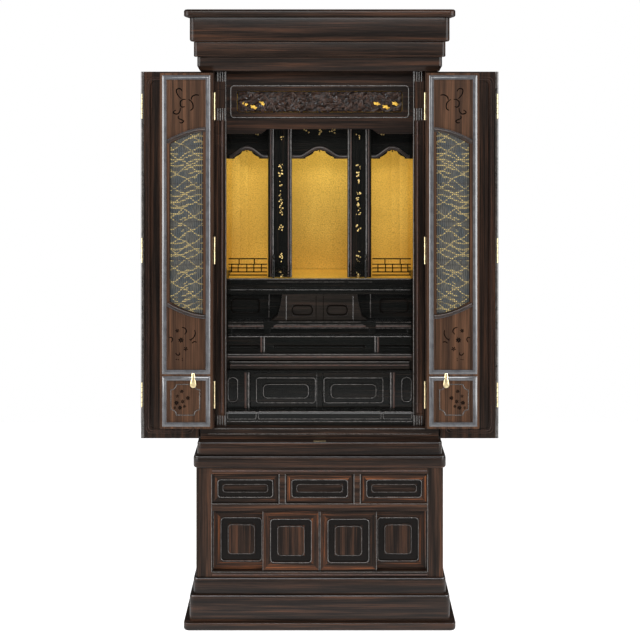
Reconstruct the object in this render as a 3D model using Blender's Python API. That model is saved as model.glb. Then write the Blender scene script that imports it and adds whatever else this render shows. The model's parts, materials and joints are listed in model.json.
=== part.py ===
# Household altar cabinet: a tall striped-ebony cabinet with folding doors,
# standing on a base with drawers and sliding doors. The doors are open at rest.
import math

import bmesh
import bpy
from mathutils import Matrix, Vector

# Overall places, metres. +Z is up and the front faces -Y.
DEPTH = 0.500
JOINT_GAP = 0.0003
RUN_GAP = 0.001
BACK_Y = DEPTH / 2
FOOT_OVERHANG = 0.054
DOOR_Y = -DEPTH / 2 + FOOT_OVERHANG

# Heights of the stacked layers, bottom to top.
LAYER_HEIGHTS = {
    "foot_board": 0.0180,
    "lower_plinth": 0.0577,
    "upper_plinth": 0.0360,
    "base_body": 0.2477,
    "base_top_board": 0.0277,
    "upper_sill": 0.0287,
    "upper_body": 0.8424,
    "cornice_cove": 0.0324,
    "cornice_band": 0.0343,
    "cornice_fascia": 0.0552,
    "cornice_top_board": 0.0169,
}

# Half widths and front overhangs beyond the door plane.
FOOT_HALF = 0.3068
LOWER_PLINTH_HALF = 0.2945
LOWER_PLINTH_OVERHANG = 0.0420
UPPER_PLINTH_HALF = 0.2862
UPPER_PLINTH_OVERHANG = 0.0340
BASE_HALF = 0.2800
BASE_OVERHANG = 0.0270
BASE_BOARD_HALF = 0.2868
BASE_BOARD_OVERHANG = 0.0335
SILL_HALF = 0.2785
SILL_OVERHANG = 0.0250
BODY_HALF = 0.2730
COVE_RISE = 0.0060
COVE_HALF = 0.2785
COVE_OVERHANG = 0.0250
BAND_HALF = 0.2858
BAND_OVERHANG = 0.0330
FASCIA_HALF = 0.2945
FASCIA_OVERHANG = 0.0415
TOP_HALF = 0.3068
TOP_OVERHANG = 0.0530
RING_WALL = 0.0180
CORNER_RADIUS = 0.0070
CORNER_STEPS = 2
BOARD_ROUND = 0.0060
SOFT_ROUND = 0.0030

# Base front: stiles, rails, drawers and sliding doors.
BASE_WALL = 0.0140
BASE_BACK_WALL = 0.0120
FACE_FRAME_DEPTH = 0.0180
BASE_STILE = 0.0358
BASE_BOTTOM_RAIL = 0.0122
BASE_TOP_RAIL = 0.0145
MID_RAIL = 0.0180
BASE_DRAWER_HEIGHT = 0.0660
DRAWER_DIVIDER = 0.0170
MIDDLE_DRAWER_WIDTH = 0.1530
BASE_DRAWER_END_SPACE = 0.1500
DRAWER_SETBACK = 0.0020
DRAWER_WALL = 0.0080
DRAWER_FRONT = 0.0140
DRAWER_FLOOR = 0.0060
DRAWER_SLIP = 0.0040
FRAME_MARGIN = 0.0120
FRAME_POCKET = 0.0025
SLOT_MARGIN = 0.0115
SLOT_POCKET = 0.0030
SLIDER_THICKNESS = 0.0090
SLIDER_SETBACK = 0.0035
SLIDER_OVERLAP = 0.0160
SLIDER_MARGIN = 0.0160
SLIDER_RING = 0.0175
SLIDER_POCKET = 0.0035

# Upper cabinet body.
UPPER_WALL = 0.0160
UPPER_BACK_WALL = 0.0120
BODY_SETBACK = 0.0035
FRONT_STILE_DEPTH = 0.0225
FLOOR_THICKNESS = 0.0252
INNER_SIDE_X = BODY_HALF - UPPER_WALL - JOINT_GAP

# Folding doors. A standoff is the distance of a leaf's face from its hinge plane.
BODY_SIDE_GAP = 0.0005
OUTER_AXIS_X = BODY_HALF + BODY_SIDE_GAP
OUTER_STANDOFF = 0.0010
OUTER_THICKNESS = 0.0140
OUTER_BOTTOM_GAP = 0.0022
OUTER_TOP_GAP = 0.0010
FRONT_STILE_WIDTH = 0.0315
INNER_AXIS_X = BODY_HALF - FRONT_STILE_WIDTH
INNER_STANDOFF = 0.0050
INNER_THICKNESS = 0.0160
INNER_BOTTOM_GAP = 0.0090
INNER_TOP_GAP = 0.0034
FOLD_STANDOFF = 0.0010
HINGE_EDGE_GAP = 0.0030
LEAF_EDGE_GAP = 0.0010
PANEL_MARGIN = 0.0220
PANEL_POCKET = 0.0020
PANEL_CORNER = 0.0100

# Face of an inner leaf.
LEAF_STILE = 0.0165
LEAF_TOP_RAIL = 0.0158
LEAF_BOTTOM_RAIL = 0.0159
LEAF_MID_RAIL_BOTTOM = 0.1140
LEAF_MID_RAIL = 0.0180
WINDOW_INSET = 0.0050
WINDOW_SPRING_TOP = 0.1610
WINDOW_SPRING_BOTTOM = 0.2870
WINDOW_RISE = 0.0280
ARCH_MOULDING = 0.0100
ARCH_STEPS = 8
ARCH_POWER = 1.7
LEAF_POCKET = 0.0025
BROCADE_THICKNESS = 0.0060
BROCADE_GAP = 0.0004
PULL_LENGTH = 0.0370
PULL_WIDTH = 0.0150
PULL_THICKNESS = 0.0036
PULL_STEPS = 8
PULL_FROM_EDGE = 0.0445
PULL_BELOW_RAIL = 0.0030
HINGE_RADIUS = 0.0028
HINGE_LENGTH = 0.0624
HINGE_FROM_TOP = 0.0765
HINGE_FROM_BOTTOM = 0.0680

# Front of the niche: pilasters, transom and valance.
PILASTER_Y = DOOR_Y + 0.0260
PILASTER_DEPTH = 0.0220
PILASTER_WIDTH = 0.0255
PILASTER_INNER_X = INNER_AXIS_X - PILASTER_WIDTH
PILASTER_CLEARANCE = 0.0005
PILASTER_BLOCK_RAISE = 0.0020
PILASTER_LOW_BLOCKS = ((0.0125, 0.0242), (0.0284, 0.0515))
PILASTER_HIGH_BLOCKS = ((0.1462, 0.1699), (0.0932, 0.1163), (0.0216, 0.0420))
TRANSOM_SETBACK = 0.0010
TRANSOM_DEPTH = 0.0175
TRANSOM_FIELD_SINK = 0.0040
TRANSOM_HEIGHT = 0.1446
TRANSOM_MIDDLE_LIFT = 0.0110
TRANSOM_LIFT_START = 0.1354
TRANSOM_LIFT_END = 0.1215
MOULDING_SIDE = 0.0103
MOULDING_HALF = PILASTER_INNER_X - MOULDING_SIDE
MOULDING_BOTTOM = 0.0381
MOULDING_TOP = 0.1114
MOULDING_RADIUS = 0.0090
CARVING_SIDE = 0.0142
CARVING_HALF = MOULDING_HALF - CARVING_SIDE
CARVING_BOTTOM = 0.0496
CARVING_TOP = 0.0992
CARVING_THICKNESS = 0.0050
CARVING_RELIEF = 0.0070
CARVING_COLUMNS = 36
CARVING_ROWS = 6
BLOSSOM_PLACES = (-0.62, 0.0, 0.62)
BLOSSOM_STRETCH = 3.9
GOLD_SHEET = 0.0012
BACKING_LAP = 0.0080
VALANCE_DEPTH = 0.0060
VALANCE_DROP = 0.0640
VALANCE_HEIGHT = 0.0800
ARCH_RISE = 0.0215
ARCH_STEP = 0.0035
SIDE_ARCH_FROM_WALL = 0.0837
SIDE_ARCH_X = INNER_SIDE_X - SIDE_ARCH_FROM_WALL
SIDE_ARCH_HALF = 0.0291
CENTRE_ARCH_HALF = 0.0334
ARCH_NARROWING = 0.62
ARCH_CUSP = 0.22

# Altar stage and what stands on it.
STAGE_HEIGHT = 0.1002
STAGE_NOSE_Y = DOOR_Y + 0.0960
STAGE_NOSE = 0.0110
STAGE_FRIEZE = 0.0180
STAGE_FRIEZE_SINK = 0.0060
STAGE_MOULDING = 0.0090
STAGE_MOULDING_SINK = 0.0030
STAGE_BODY_SINK = 0.0290
STAGE_BOARD = 0.0100
INNER_BACK_SPACE = 0.0080
INNER_BACK_Y = BACK_Y - UPPER_BACK_WALL - INNER_BACK_SPACE
STAGE_GROOVE_HALF = 0.0807
STAGE_SIDE_GROOVE = (0.0537, 0.1088)
STAGE_SIDE_PANEL = (0.0475, 0.1139)
STAGE_PANEL_LOW = 0.0145
STAGE_PANEL_HIGH = 0.0140
GROOVE_HEIGHT = 0.0070
GROOVE_DEPTH = 0.0030
DAIS_HALF_TOP = 0.0885
DAIS_HALF_BOTTOM = 0.1150
DAIS_SETBACK = 0.0020
DAIS_SLOT = (0.0173, 0.0646)
DAIS_SLOT_LOW = 0.0115
DAIS_SLOT_HIGH = 0.0238
DAIS_STEPS = 3
DAIS_FLARE_POWER = 0.5
DAIS_RISE_POWER = 1.6
COLUMN_OUTER_X = 0.1223
COLUMN_INNER_X = 0.0655
COLUMN_Y = DOOR_Y + 0.1100
COLUMN_DEPTH = 0.0180
VALANCE_Y = COLUMN_Y + COLUMN_DEPTH + JOINT_GAP
COLUMN_BEAD = 0.0060
COLUMN_FACE_SINK = 0.0030
BACKDROP_Y = DOOR_Y + 0.2500
BACKDROP_CORNER_X = 0.0780
BACKDROP_CORNER_Y = 0.1000
BACKDROP_THICKNESS = 0.0020
BACKDROP_STEPS = 6
RAILING_SETBACK = 0.0040
RAILING_DEPTH = 0.0040
RAIL_THICKNESS = 0.0026
RAIL_LEVELS = (0.0134, 0.0236, 0.0310, 0.0438)
UPPER_POSTS_X = (0.1903, 0.1535)
LOWER_POSTS_X = (0.2265, 0.2075, 0.1903, 0.1722, 0.1535, 0.1373)
NEWEL_X = 0.1077
NEWEL_WIDTH = 0.0060
NEWEL_HEIGHT = 0.0640
NEWEL_SHOULDER = 0.88
WING_TIP_X = 0.0446
WING_TIP_HEIGHT = 0.0050
WING_STEPS = 5
WING_SWEEP = 1.3

# Shelves, tray and drawers under the stage.
STEP_SHELF_HEIGHT = 0.0712
STEP_SHELF_Y = DOOR_Y + 0.0800
STEP_FACE = 0.0390
STEP_RECESS = 0.0140
STEP_RECESS_SINK = 0.0230
STEP_NOSE_SINK = 0.0100
STEP_BOARD = 0.0100
STEP_GROOVE_HALF = 0.1080
STEP_SIDE_GROOVE = (0.0441, 0.1144)
STEP_GROOVE_LOW = 0.0110
STEP_BLOCK_FROM_WALL = (0.0427, 0.1327)
STEP_BLOCK_WIDTH = 0.0140
TRAY_SHELF_Y = DOOR_Y + 0.0660
TRAY_SHELF_BOARD = 0.0138
TRAY_SPACE = 0.0354
TRAY_Y = DOOR_Y + 0.0600
TRAY_HEIGHT = 0.0190
TRAY_SIDE = 0.0060
TRAY_HALF = PILASTER_INNER_X - TRAY_SIDE
TRAY_END_SPACE = 0.0600
TRAY_BOARD = 0.0070
TRAY_FRONT = 0.0120
HOUSING_HEIGHT = 0.1207
HOUSING_Y = DOOR_Y + 0.0500
HOUSING_WALL = 0.0100
SILL_CLEARANCE = 0.0004
BAY_TOP_WALL = 0.0040
BAY_INNER_X = 0.0065
BAY_WIDTH = 0.1560
BAY_OUTER_X = BAY_INNER_X + BAY_WIDTH
FRAME_INNER_SPACE = 0.0036
FRAME_OUTER_SPACE = 0.0155
OVAL_FROM_WALL = (0.0437, 0.0657)
OVAL_RADIUS = 0.0090
OVAL_MARGIN = 0.0120
INNER_DRAWER_END_SPACE = 0.0500
SILL_MOULDING_Y = DOOR_Y + 0.0280
SILL_MOULDING_HEIGHT = 0.0325
SILL_MOULDING_STEP = 0.0060

PARTS = "household_altar_cabinet"
CUTTERS = "cutters"

FINISHES = {
    "ebony": ((0.040, 0.021, 0.015), 0.34, 0.0),
    "ebony_panel": ((0.075, 0.036, 0.024), 0.38, 0.0),
    "black_lacquer": ((0.014, 0.012, 0.010), 0.26, 0.0),
    "inlaid_lacquer": ((0.018, 0.014, 0.010), 0.26, 0.0),
    "carved_wood": ((0.060, 0.030, 0.018), 0.30, 0.0),
    "gold_paper": ((0.640, 0.420, 0.080), 0.42, 0.7),
    "brocade": ((0.120, 0.130, 0.140), 0.80, 0.0),
    "brass": ((0.720, 0.520, 0.220), 0.28, 1.0),
}


def clear_scene():
    for obj in list(bpy.data.objects):
        bpy.data.objects.remove(obj)
    for title in (PARTS, CUTTERS):
        bpy.context.scene.collection.children.link(bpy.data.collections.new(title))


def make_finishes():
    for title, (colour, roughness, metallic) in FINISHES.items():
        material = bpy.data.materials.new(title)
        material.use_nodes = True
        shader = material.node_tree.nodes["Principled BSDF"]
        shader.inputs["Base Color"].default_value = (*colour, 1.0)
        shader.inputs["Roughness"].default_value = roughness
        shader.inputs["Metallic"].default_value = metallic


def stacked_layers():
    """Bottom and top of each layer, with a joint gap between neighbours."""
    levels = {}
    bottom = 0.0
    for title, height in LAYER_HEIGHTS.items():
        levels[title] = (bottom, bottom + height)
        bottom += height + JOINT_GAP
    return levels


def inner_levels(z):
    """Bottom and top of each layer of the altar's fittings, and of the valance over them."""
    floor = z[0] + FLOOR_THICKNESS + JOINT_GAP
    heights = (
        ("housing", HOUSING_HEIGHT),
        ("tray", TRAY_SPACE),
        ("step_shelf", STEP_SHELF_HEIGHT),
        ("stage", STAGE_HEIGHT),
    )
    levels = {}
    for title, height in heights:
        levels[title] = (floor, floor + height)
        floor += height + JOINT_GAP
    valance_low = z[1] - JOINT_GAP - TRANSOM_HEIGHT - VALANCE_DROP
    levels["valance"] = (valance_low, valance_low + VALANCE_HEIGHT)
    levels["over_stage"] = (floor, valance_low + VALANCE_HEIGHT)
    return levels


def settle(obj, finish, origin):
    """Put a new object in its collection, with its finish and its origin."""
    is_cutter = finish is None
    for home in list(obj.users_collection):
        home.objects.unlink(obj)
    bpy.data.collections[CUTTERS if is_cutter else PARTS].objects.link(obj)
    if is_cutter:
        obj.hide_render = True
        obj.display_type = "WIRE"
    else:
        obj.data.materials.clear()
        obj.data.materials.append(bpy.data.materials[finish])
    if origin is not None:
        obj.data.transform(Matrix.Translation(-Vector(origin)))
        obj.location = origin
    return obj


def from_bmesh(title, bm, finish, origin=None):
    bmesh.ops.recalc_face_normals(bm, faces=bm.faces)
    mesh = bpy.data.meshes.new(title)
    bm.to_mesh(mesh)
    bm.free()
    obj = bpy.data.objects.new(title, mesh)
    bpy.data.collections[PARTS].objects.link(obj)
    return settle(obj, finish, origin)


def block(title, x, y, z, finish=None, origin=None):
    """A plain box between the given pairs of places."""
    bpy.ops.mesh.primitive_cube_add(size=1.0)
    obj = bpy.context.object
    obj.name = title
    sizes = [high - low for low, high in (x, y, z)]
    middles = [(low + high) / 2 for low, high in (x, y, z)]
    obj.data.transform(Matrix.Translation(middles) @ Matrix.Diagonal((*sizes, 1.0)))
    return settle(obj, finish, origin)


def plane_turn(plane):
    """The turn from a flat outline's own plane to the named one."""
    if plane == "XY":
        return Matrix.Identity(4)
    upright = Matrix.Rotation(math.radians(90), 4, "X")
    if plane == "XZ":
        return upright
    return Matrix.Rotation(math.radians(90), 4, "Z") @ upright


def plane_shift(plane, place):
    """A shift to the given place along the normal of the named plane."""
    if plane == "XY":
        return Matrix.Translation((0, 0, place))
    if plane == "XZ":
        return Matrix.Translation((0, place, 0))
    return Matrix.Translation((place, 0, 0))


def prism(title, outlines, span, plane="XZ", finish=None, origin=None):
    """Flat outlines, holes among them, drawn in a plane and thickened along its normal."""
    curve = bpy.data.curves.new(title, "CURVE")
    curve.dimensions = "2D"
    curve.fill_mode = "BOTH"
    curve.extrude = (span[1] - span[0]) / 2
    for outline in outlines:
        spline = curve.splines.new("POLY")
        spline.points.add(len(outline) - 1)
        for point, (first, second) in zip(spline.points, outline):
            point.co = (first, second, 0.0, 1.0)
        spline.use_cyclic_u = True
    flat = bpy.data.objects.new(title, curve)
    bpy.data.collections[PARTS].objects.link(flat)
    view = bpy.context.evaluated_depsgraph_get()
    mesh = bpy.data.meshes.new_from_object(flat.evaluated_get(view))
    bpy.data.objects.remove(flat)
    mesh.transform(plane_shift(plane, sum(span) / 2) @ plane_turn(plane))
    bm = bmesh.new()
    bm.from_mesh(mesh)
    bpy.data.meshes.remove(mesh)
    bmesh.ops.remove_doubles(bm, verts=bm.verts, dist=1e-6)
    return from_bmesh(title, bm, finish, origin)


def combine(obj, other, operation="DIFFERENCE"):
    change = obj.modifiers.new(other.name, "BOOLEAN")
    change.operation = operation
    change.solver = "EXACT"
    change.object = other


def cut(obj, outlines, span, plane="XZ"):
    combine(obj, prism(f"{obj.name}_cutter", outlines, span, plane))


def rectangle(x, z):
    return [(x[0], z[0]), (x[1], z[0]), (x[1], z[1]), (x[0], z[1])]


def rounded(x, z, radius, steps=3):
    """A rectangle with its corners rounded by arcs."""
    centres = (
        (x[1] - radius, z[0] + radius, -90),
        (x[1] - radius, z[1] - radius, 0),
        (x[0] + radius, z[1] - radius, 90),
        (x[0] + radius, z[0] + radius, 180),
    )
    outline = []
    for centre_x, centre_z, start in centres:
        for step in range(steps + 1):
            turn = math.radians(start + 90 * step / steps)
            outline.append((centre_x + radius * math.cos(turn), centre_z + radius * math.sin(turn)))
    return outline


def shrunk(span, margin):
    return (span[0] + margin, span[1] - margin)


def mirrored(side, x):
    """A pair of places on the given side of the middle, lowest first."""
    return tuple(sorted((side * x[0], side * x[1])))


def from_wall(side, insets):
    """A pair of places measured inwards from the niche's side wall."""
    return mirrored(side, (INNER_SIDE_X - insets[0], INNER_SIDE_X - insets[1]))


def board_profile(z, bottom_round, top_round, steps=2):
    """Outset and height up a board's edge, with quarter rounds at both corners."""
    profile = []
    for step in range(steps + 1):
        turn = math.radians(90 * step / steps)
        sunk = bottom_round * (math.sin(turn) - 1)
        profile.append((sunk, z[0] + bottom_round * (1 - math.cos(turn))))
    for step in range(steps + 1):
        turn = math.radians(90 * step / steps)
        sunk = top_round * (math.cos(turn) - 1)
        profile.append((sunk, z[1] - top_round * (1 - math.sin(turn))))
    return profile


def moulded_board(title, half, overhang, profile, finish, wall=None):
    """A board lofted up its edge profile. With a wall it is a hollow rim, flush at the back."""
    bm = bmesh.new()

    def loop(outset, height):
        x = half + outset
        front = DOOR_Y - overhang - outset
        outline = rounded((-x, x), (front, BACK_Y), CORNER_RADIUS, CORNER_STEPS)
        return [bm.verts.new((px, py, height)) for px, py in outline]

    loops = [loop(outset, height) for outset, height in profile]
    if wall is None:
        bm.faces.new(loops[0])
        bm.faces.new(loops[-1])
        pairs = list(zip(loops, loops[1:]))
    else:
        inner = rectangle((wall - half, half - wall), (DOOR_Y - overhang + wall, BACK_Y - wall))
        corner = len(loops[0]) // 4
        for height in (profile[-1][1], profile[0][1]):
            ring = [inner[(k // corner + 1) % 4] for k in range(len(loops[0]))]
            loops.append([bm.verts.new((px, py, height)) for px, py in ring])
        pairs = list(zip(loops, loops[1:] + loops[:1]))
    for lower, upper in pairs:
        for k in range(len(lower)):
            after = (k + 1) % len(lower)
            bm.faces.new((lower[k], lower[after], upper[after], upper[k]))
    bmesh.ops.remove_doubles(bm, verts=bm.verts, dist=1e-6)
    return from_bmesh(title, bm, finish)


def build_stack(levels):
    soft = (SOFT_ROUND, SOFT_ROUND)
    plans = (
        ("foot_board", FOOT_HALF, FOOT_OVERHANG, (SOFT_ROUND, BOARD_ROUND), None),
        ("lower_plinth", LOWER_PLINTH_HALF, LOWER_PLINTH_OVERHANG, (SOFT_ROUND, BOARD_ROUND), RING_WALL),
        ("upper_plinth", UPPER_PLINTH_HALF, UPPER_PLINTH_OVERHANG, soft, RING_WALL),
        ("base_top_board", BASE_BOARD_HALF, BASE_BOARD_OVERHANG, (BOARD_ROUND, BOARD_ROUND), None),
        ("upper_sill", SILL_HALF, SILL_OVERHANG, (SOFT_ROUND, BOARD_ROUND), None),
        ("cornice_band", BAND_HALF, BAND_OVERHANG, soft, RING_WALL),
        ("cornice_fascia", FASCIA_HALF, FASCIA_OVERHANG, soft, RING_WALL),
        ("cornice_top_board", TOP_HALF, TOP_OVERHANG, (BOARD_ROUND, BOARD_ROUND), None),
    )
    for title, half, overhang, rounds, wall in plans:
        moulded_board(title, half, overhang, board_profile(levels[title], *rounds), "ebony", wall)


def build_cornice_cove(z):
    """The ceiling board, whose edge hollows in to the width of the cabinet below."""
    steps = 3
    cove_height = 2 * COVE_RISE
    profile = []
    for step in range(steps + 1):
        turn = math.radians(90 * step / steps)
        profile.append((-COVE_RISE * math.cos(turn), z[0] + cove_height * (1 - math.cos(turn))))
    profile.append((0.0, z[1]))
    moulded_board("cornice_cove", COVE_HALF, COVE_OVERHANG, profile, "ebony")


def base_openings(z):
    """The face frame's openings: one door compartment, and the three drawer bays over it."""
    low = z[0] + BASE_BOTTOM_RAIL
    bay_z = (z[1] - BASE_TOP_RAIL - BASE_DRAWER_HEIGHT, z[1] - BASE_TOP_RAIL)
    compartment_z = (low, bay_z[0] - MID_RAIL)
    half = BASE_HALF - BASE_STILE
    middle = MIDDLE_DRAWER_WIDTH / 2
    side_start = middle + DRAWER_DIVIDER
    bays_x = ((-half, -side_start), (-middle, middle), (side_start, half))
    return (-half, half), compartment_z, bays_x, bay_z


def build_base(z):
    compartment_x, compartment_z, bays_x, bay_z = base_openings(z)
    face_y = DOOR_Y - BASE_OVERHANG
    carcass_y = face_y + FACE_FRAME_DEPTH + JOINT_GAP
    cavity_y = (carcass_y - BASE_WALL, BACK_Y - BASE_BACK_WALL)
    bays = [rectangle(bay_x, bay_z) for bay_x in bays_x]
    carcass = block("base_carcass", (-BASE_HALF, BASE_HALF), (carcass_y, BACK_Y), z, "ebony")
    wide_x = (BASE_WALL - BASE_HALF, BASE_HALF - BASE_WALL)
    cut(carcass, bays + [rectangle(wide_x, compartment_z)], cavity_y)
    outlines = [rectangle((-BASE_HALF, BASE_HALF), z), rectangle(compartment_x, compartment_z)]
    frame_y = (face_y, face_y + FACE_FRAME_DEPTH)
    prism("base_front_frame", outlines + bays, frame_y, "XZ", "ebony")
    for title, bay_x in zip(("left", "middle", "right"), bays_x):
        drawer_y = (face_y + DRAWER_SETBACK, cavity_y[1] - BASE_DRAWER_END_SPACE)
        build_drawer(f"base_drawer_{title}", bay_x, bay_z, drawer_y, shrunk(bay_x, RUN_GAP + FRAME_MARGIN))
    build_sliders(compartment_x, compartment_z, face_y)


def build_drawer(title, bay_x, bay_z, y, frame_x):
    """An open-topped box with a framed front that has a long sunk slot."""
    x = shrunk(bay_x, RUN_GAP)
    z = shrunk(bay_z, RUN_GAP)
    front_y = y[0]
    drawer = block(title, x, y, z, "ebony_panel")
    inside_y = (front_y + DRAWER_FRONT, y[1] - DRAWER_WALL)
    cut(drawer, [rectangle(shrunk(x, DRAWER_WALL), (z[0] + DRAWER_FLOOR, z[1] + DRAWER_SLIP))], inside_y)
    frame = (frame_x, shrunk(z, FRAME_MARGIN))
    slot = (shrunk(frame[0], SLOT_MARGIN), shrunk(frame[1], SLOT_MARGIN))
    before = front_y - DRAWER_SLIP
    cut(drawer, [rounded(*frame, FRAME_MARGIN / 2)], (before, front_y + FRAME_POCKET))
    cut(drawer, [rounded(*slot, SLOT_MARGIN / 3)], (before, front_y + FRAME_POCKET + SLOT_POCKET))


def build_sliders(opening_x, opening_z, face_y):
    """Four leaves on two tracks: the middle ones in front, the outer ones behind them."""
    half = opening_x[1] - RUN_GAP
    width = (half - RUN_GAP / 2 + SLIDER_OVERLAP) / 2
    z = shrunk(opening_z, RUN_GAP)
    front_y = face_y + SLIDER_SETBACK
    rear_y = front_y + SLIDER_THICKNESS + 2 * RUN_GAP
    plans = (("middle", RUN_GAP / 2, front_y), ("outer", half - width, rear_y))
    for side, hand in ((-1, "left"), (1, "right")):
        for place, start, leaf_y in plans:
            x = mirrored(side, (start, start + width))
            title = f"sliding_door_{hand}_{place}"
            leaf = block(title, x, (leaf_y, leaf_y + SLIDER_THICKNESS), z, "ebony_panel")
            frame = (shrunk(x, SLIDER_MARGIN), shrunk(z, SLIDER_MARGIN))
            island = (shrunk(frame[0], SLIDER_RING), shrunk(frame[1], SLIDER_RING))
            ring = [rounded(*frame, SLIDER_MARGIN / 2), rounded(*island, SLIDER_MARGIN / 2)]
            cut(leaf, ring, (leaf_y - DRAWER_SLIP, leaf_y + SLIDER_POCKET))


def build_upper_body(z):
    """Side walls, back and floor in one, open in front and at the top under the cornice."""
    front_y = DOOR_Y + BODY_SETBACK
    carcass = block("cabinet_carcass", (-BODY_HALF, BODY_HALF), (front_y, BACK_Y), z, "ebony")
    above = z[1] + UPPER_WALL
    floor = z[0] + FLOOR_THICKNESS
    inside = BODY_HALF - UPPER_WALL
    door_half = INNER_AXIS_X + RUN_GAP
    stile_back = front_y + FRONT_STILE_DEPTH
    cut(carcass, [rectangle((-inside, inside), (floor, above))], (stile_back, BACK_Y - UPPER_BACK_WALL))
    doorway = [rectangle((-door_half, door_half), (floor, above))]
    cut(carcass, doorway, (front_y - UPPER_WALL, stile_back + RUN_GAP))


def build_outer_leaves(side, hand, z):
    """A hinged leaf opened flat to the side, and a second leaf folded behind it."""
    leaf_z = (z[0] + OUTER_BOTTOM_GAP, z[1] - OUTER_TOP_GAP)
    half_span = OUTER_AXIS_X / 2
    fold_x = OUTER_AXIS_X + half_span
    hinge_y = DOOR_Y + OUTER_STANDOFF
    fold_y = hinge_y + OUTER_THICKNESS + FOLD_STANDOFF
    plans = (
        ("hinged", OUTER_AXIS_X + HINGE_EDGE_GAP, hinge_y, (side * OUTER_AXIS_X, DOOR_Y, 0.0)),
        ("folded", fold_x - half_span + LEAF_EDGE_GAP, fold_y + FOLD_STANDOFF, (side * fold_x, fold_y, 0.0)),
    )
    for place, start, leaf_y, axis in plans:
        x = mirrored(side, (start, fold_x - LEAF_EDGE_GAP))
        title = f"outer_door_{hand}_{place}"
        leaf = block(title, x, (leaf_y, leaf_y + OUTER_THICKNESS), leaf_z, "ebony", axis)
        panel = [rounded(shrunk(x, PANEL_MARGIN), shrunk(leaf_z, PANEL_MARGIN), PANEL_CORNER)]
        far_y = leaf_y + OUTER_THICKNESS
        cut(leaf, panel, (leaf_y - PANEL_MARGIN, leaf_y + PANEL_POCKET))
        cut(leaf, panel, (far_y - PANEL_POCKET, far_y + PANEL_MARGIN))


def arch_points(x_low, x_high, spring, rise):
    """A gentle arch from its springing at x_low to its level crown at x_high."""
    points = []
    for step in range(ARCH_STEPS + 1):
        share = step / ARCH_STEPS
        points.append((x_low + (x_high - x_low) * share, spring + rise * (1 - (1 - share) ** ARCH_POWER)))
    return points


def window_outline(x_low, x_high, z, grow):
    """The brocade window: its arched ends rise and fall most at x_high."""
    top = arch_points(x_low, x_high, z[1] - WINDOW_SPRING_TOP + grow, WINDOW_RISE)
    bottom = arch_points(x_low, x_high, z[0] + WINDOW_SPRING_BOTTOM - grow, -WINDOW_RISE)
    return bottom, top


def build_inner_leaves(side, hand, z):
    """A hinged leaf opened in front of the outer door, and a second leaf folded on its face."""
    leaf_z = (z[0] + FLOOR_THICKNESS + INNER_BOTTOM_GAP, z[1] - INNER_TOP_GAP)
    half_span = INNER_AXIS_X / 2
    fold_x = INNER_AXIS_X + half_span
    hinged_y = DOOR_Y - INNER_STANDOFF - INNER_THICKNESS
    fold_y = hinged_y - FOLD_STANDOFF
    folded_y = fold_y - FOLD_STANDOFF - INNER_THICKNESS
    plans = (
        ("hinged", INNER_AXIS_X + HINGE_EDGE_GAP, hinged_y, (side * INNER_AXIS_X, DOOR_Y, 0.0), 1),
        ("folded", INNER_AXIS_X + LEAF_EDGE_GAP, folded_y, (side * fold_x, fold_y, 0.0), -1),
    )
    for place, start, leaf_y, axis, shown in plans:
        end = fold_x - LEAF_EDGE_GAP
        build_inner_leaf(f"{hand}_{place}", side, (start, end), leaf_y, leaf_z, axis, shown)
    pull_x = side * (INNER_AXIS_X + PULL_FROM_EDGE)
    pull_top = leaf_z[0] + LEAF_MID_RAIL_BOTTOM + LEAF_MID_RAIL - PULL_BELOW_RAIL
    build_pull(f"door_pull_{hand}", pull_x, pull_top, folded_y - JOINT_GAP, (side * fold_x, fold_y, 0.0))


def build_inner_leaf(title, side, reach, leaf_y, z, axis, shown):
    """One framed leaf: arched brocade window, sunk panels above and below. shown is its front's direction."""
    x = mirrored(side, reach)
    leaf = block(f"inner_door_{title}", x, (leaf_y, leaf_y + INNER_THICKNESS), z, "ebony_panel", axis)
    crown_x = side * (reach[0] + LEAF_STILE + WINDOW_INSET)
    spring_x = side * (reach[1] - LEAF_STILE - WINDOW_INSET)
    bottom, top = window_outline(spring_x, crown_x, z, 0.0)
    through = (leaf_y - LEAF_STILE, leaf_y + INNER_THICKNESS + LEAF_STILE)
    cut(leaf, [bottom + top[::-1]], through)
    front = leaf_y if shown < 0 else leaf_y + INNER_THICKNESS
    pocket_y = sorted((front + shown * LEAF_STILE, front - shown * LEAF_POCKET))
    field_x = (side * (reach[1] - LEAF_STILE), side * (reach[0] + LEAF_STILE))
    low, high = window_outline(*field_x, z, ARCH_MOULDING)
    rail_bottom = z[0] + LEAF_MID_RAIL_BOTTOM
    upper_panel = high + [(field_x[1], z[1] - LEAF_TOP_RAIL), (field_x[0], z[1] - LEAF_TOP_RAIL)]
    lower_panel = low + [(field_x[1], rail_bottom + LEAF_MID_RAIL), (field_x[0], rail_bottom + LEAF_MID_RAIL)]
    foot_panel = rectangle(field_x, (z[0] + LEAF_BOTTOM_RAIL, rail_bottom))
    cut(leaf, [upper_panel, lower_panel, foot_panel], pocket_y)
    build_brocade(f"brocade_panel_{title}", side, (spring_x, crown_x), leaf_y, z, axis)


def build_brocade(title, side, window_x, leaf_y, z, axis):
    """The woven panel that fills a leaf's window, with a thin gap all round."""
    spring_x = window_x[0] - side * BROCADE_GAP
    crown_x = window_x[1] + side * BROCADE_GAP
    bottom, top = window_outline(spring_x, crown_x, z, -BROCADE_GAP)
    middle = leaf_y + INNER_THICKNESS / 2
    span = (middle - BROCADE_THICKNESS / 2, middle + BROCADE_THICKNESS / 2)
    prism(title, [bottom + top[::-1]], span, "XZ", "brocade", axis)


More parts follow.
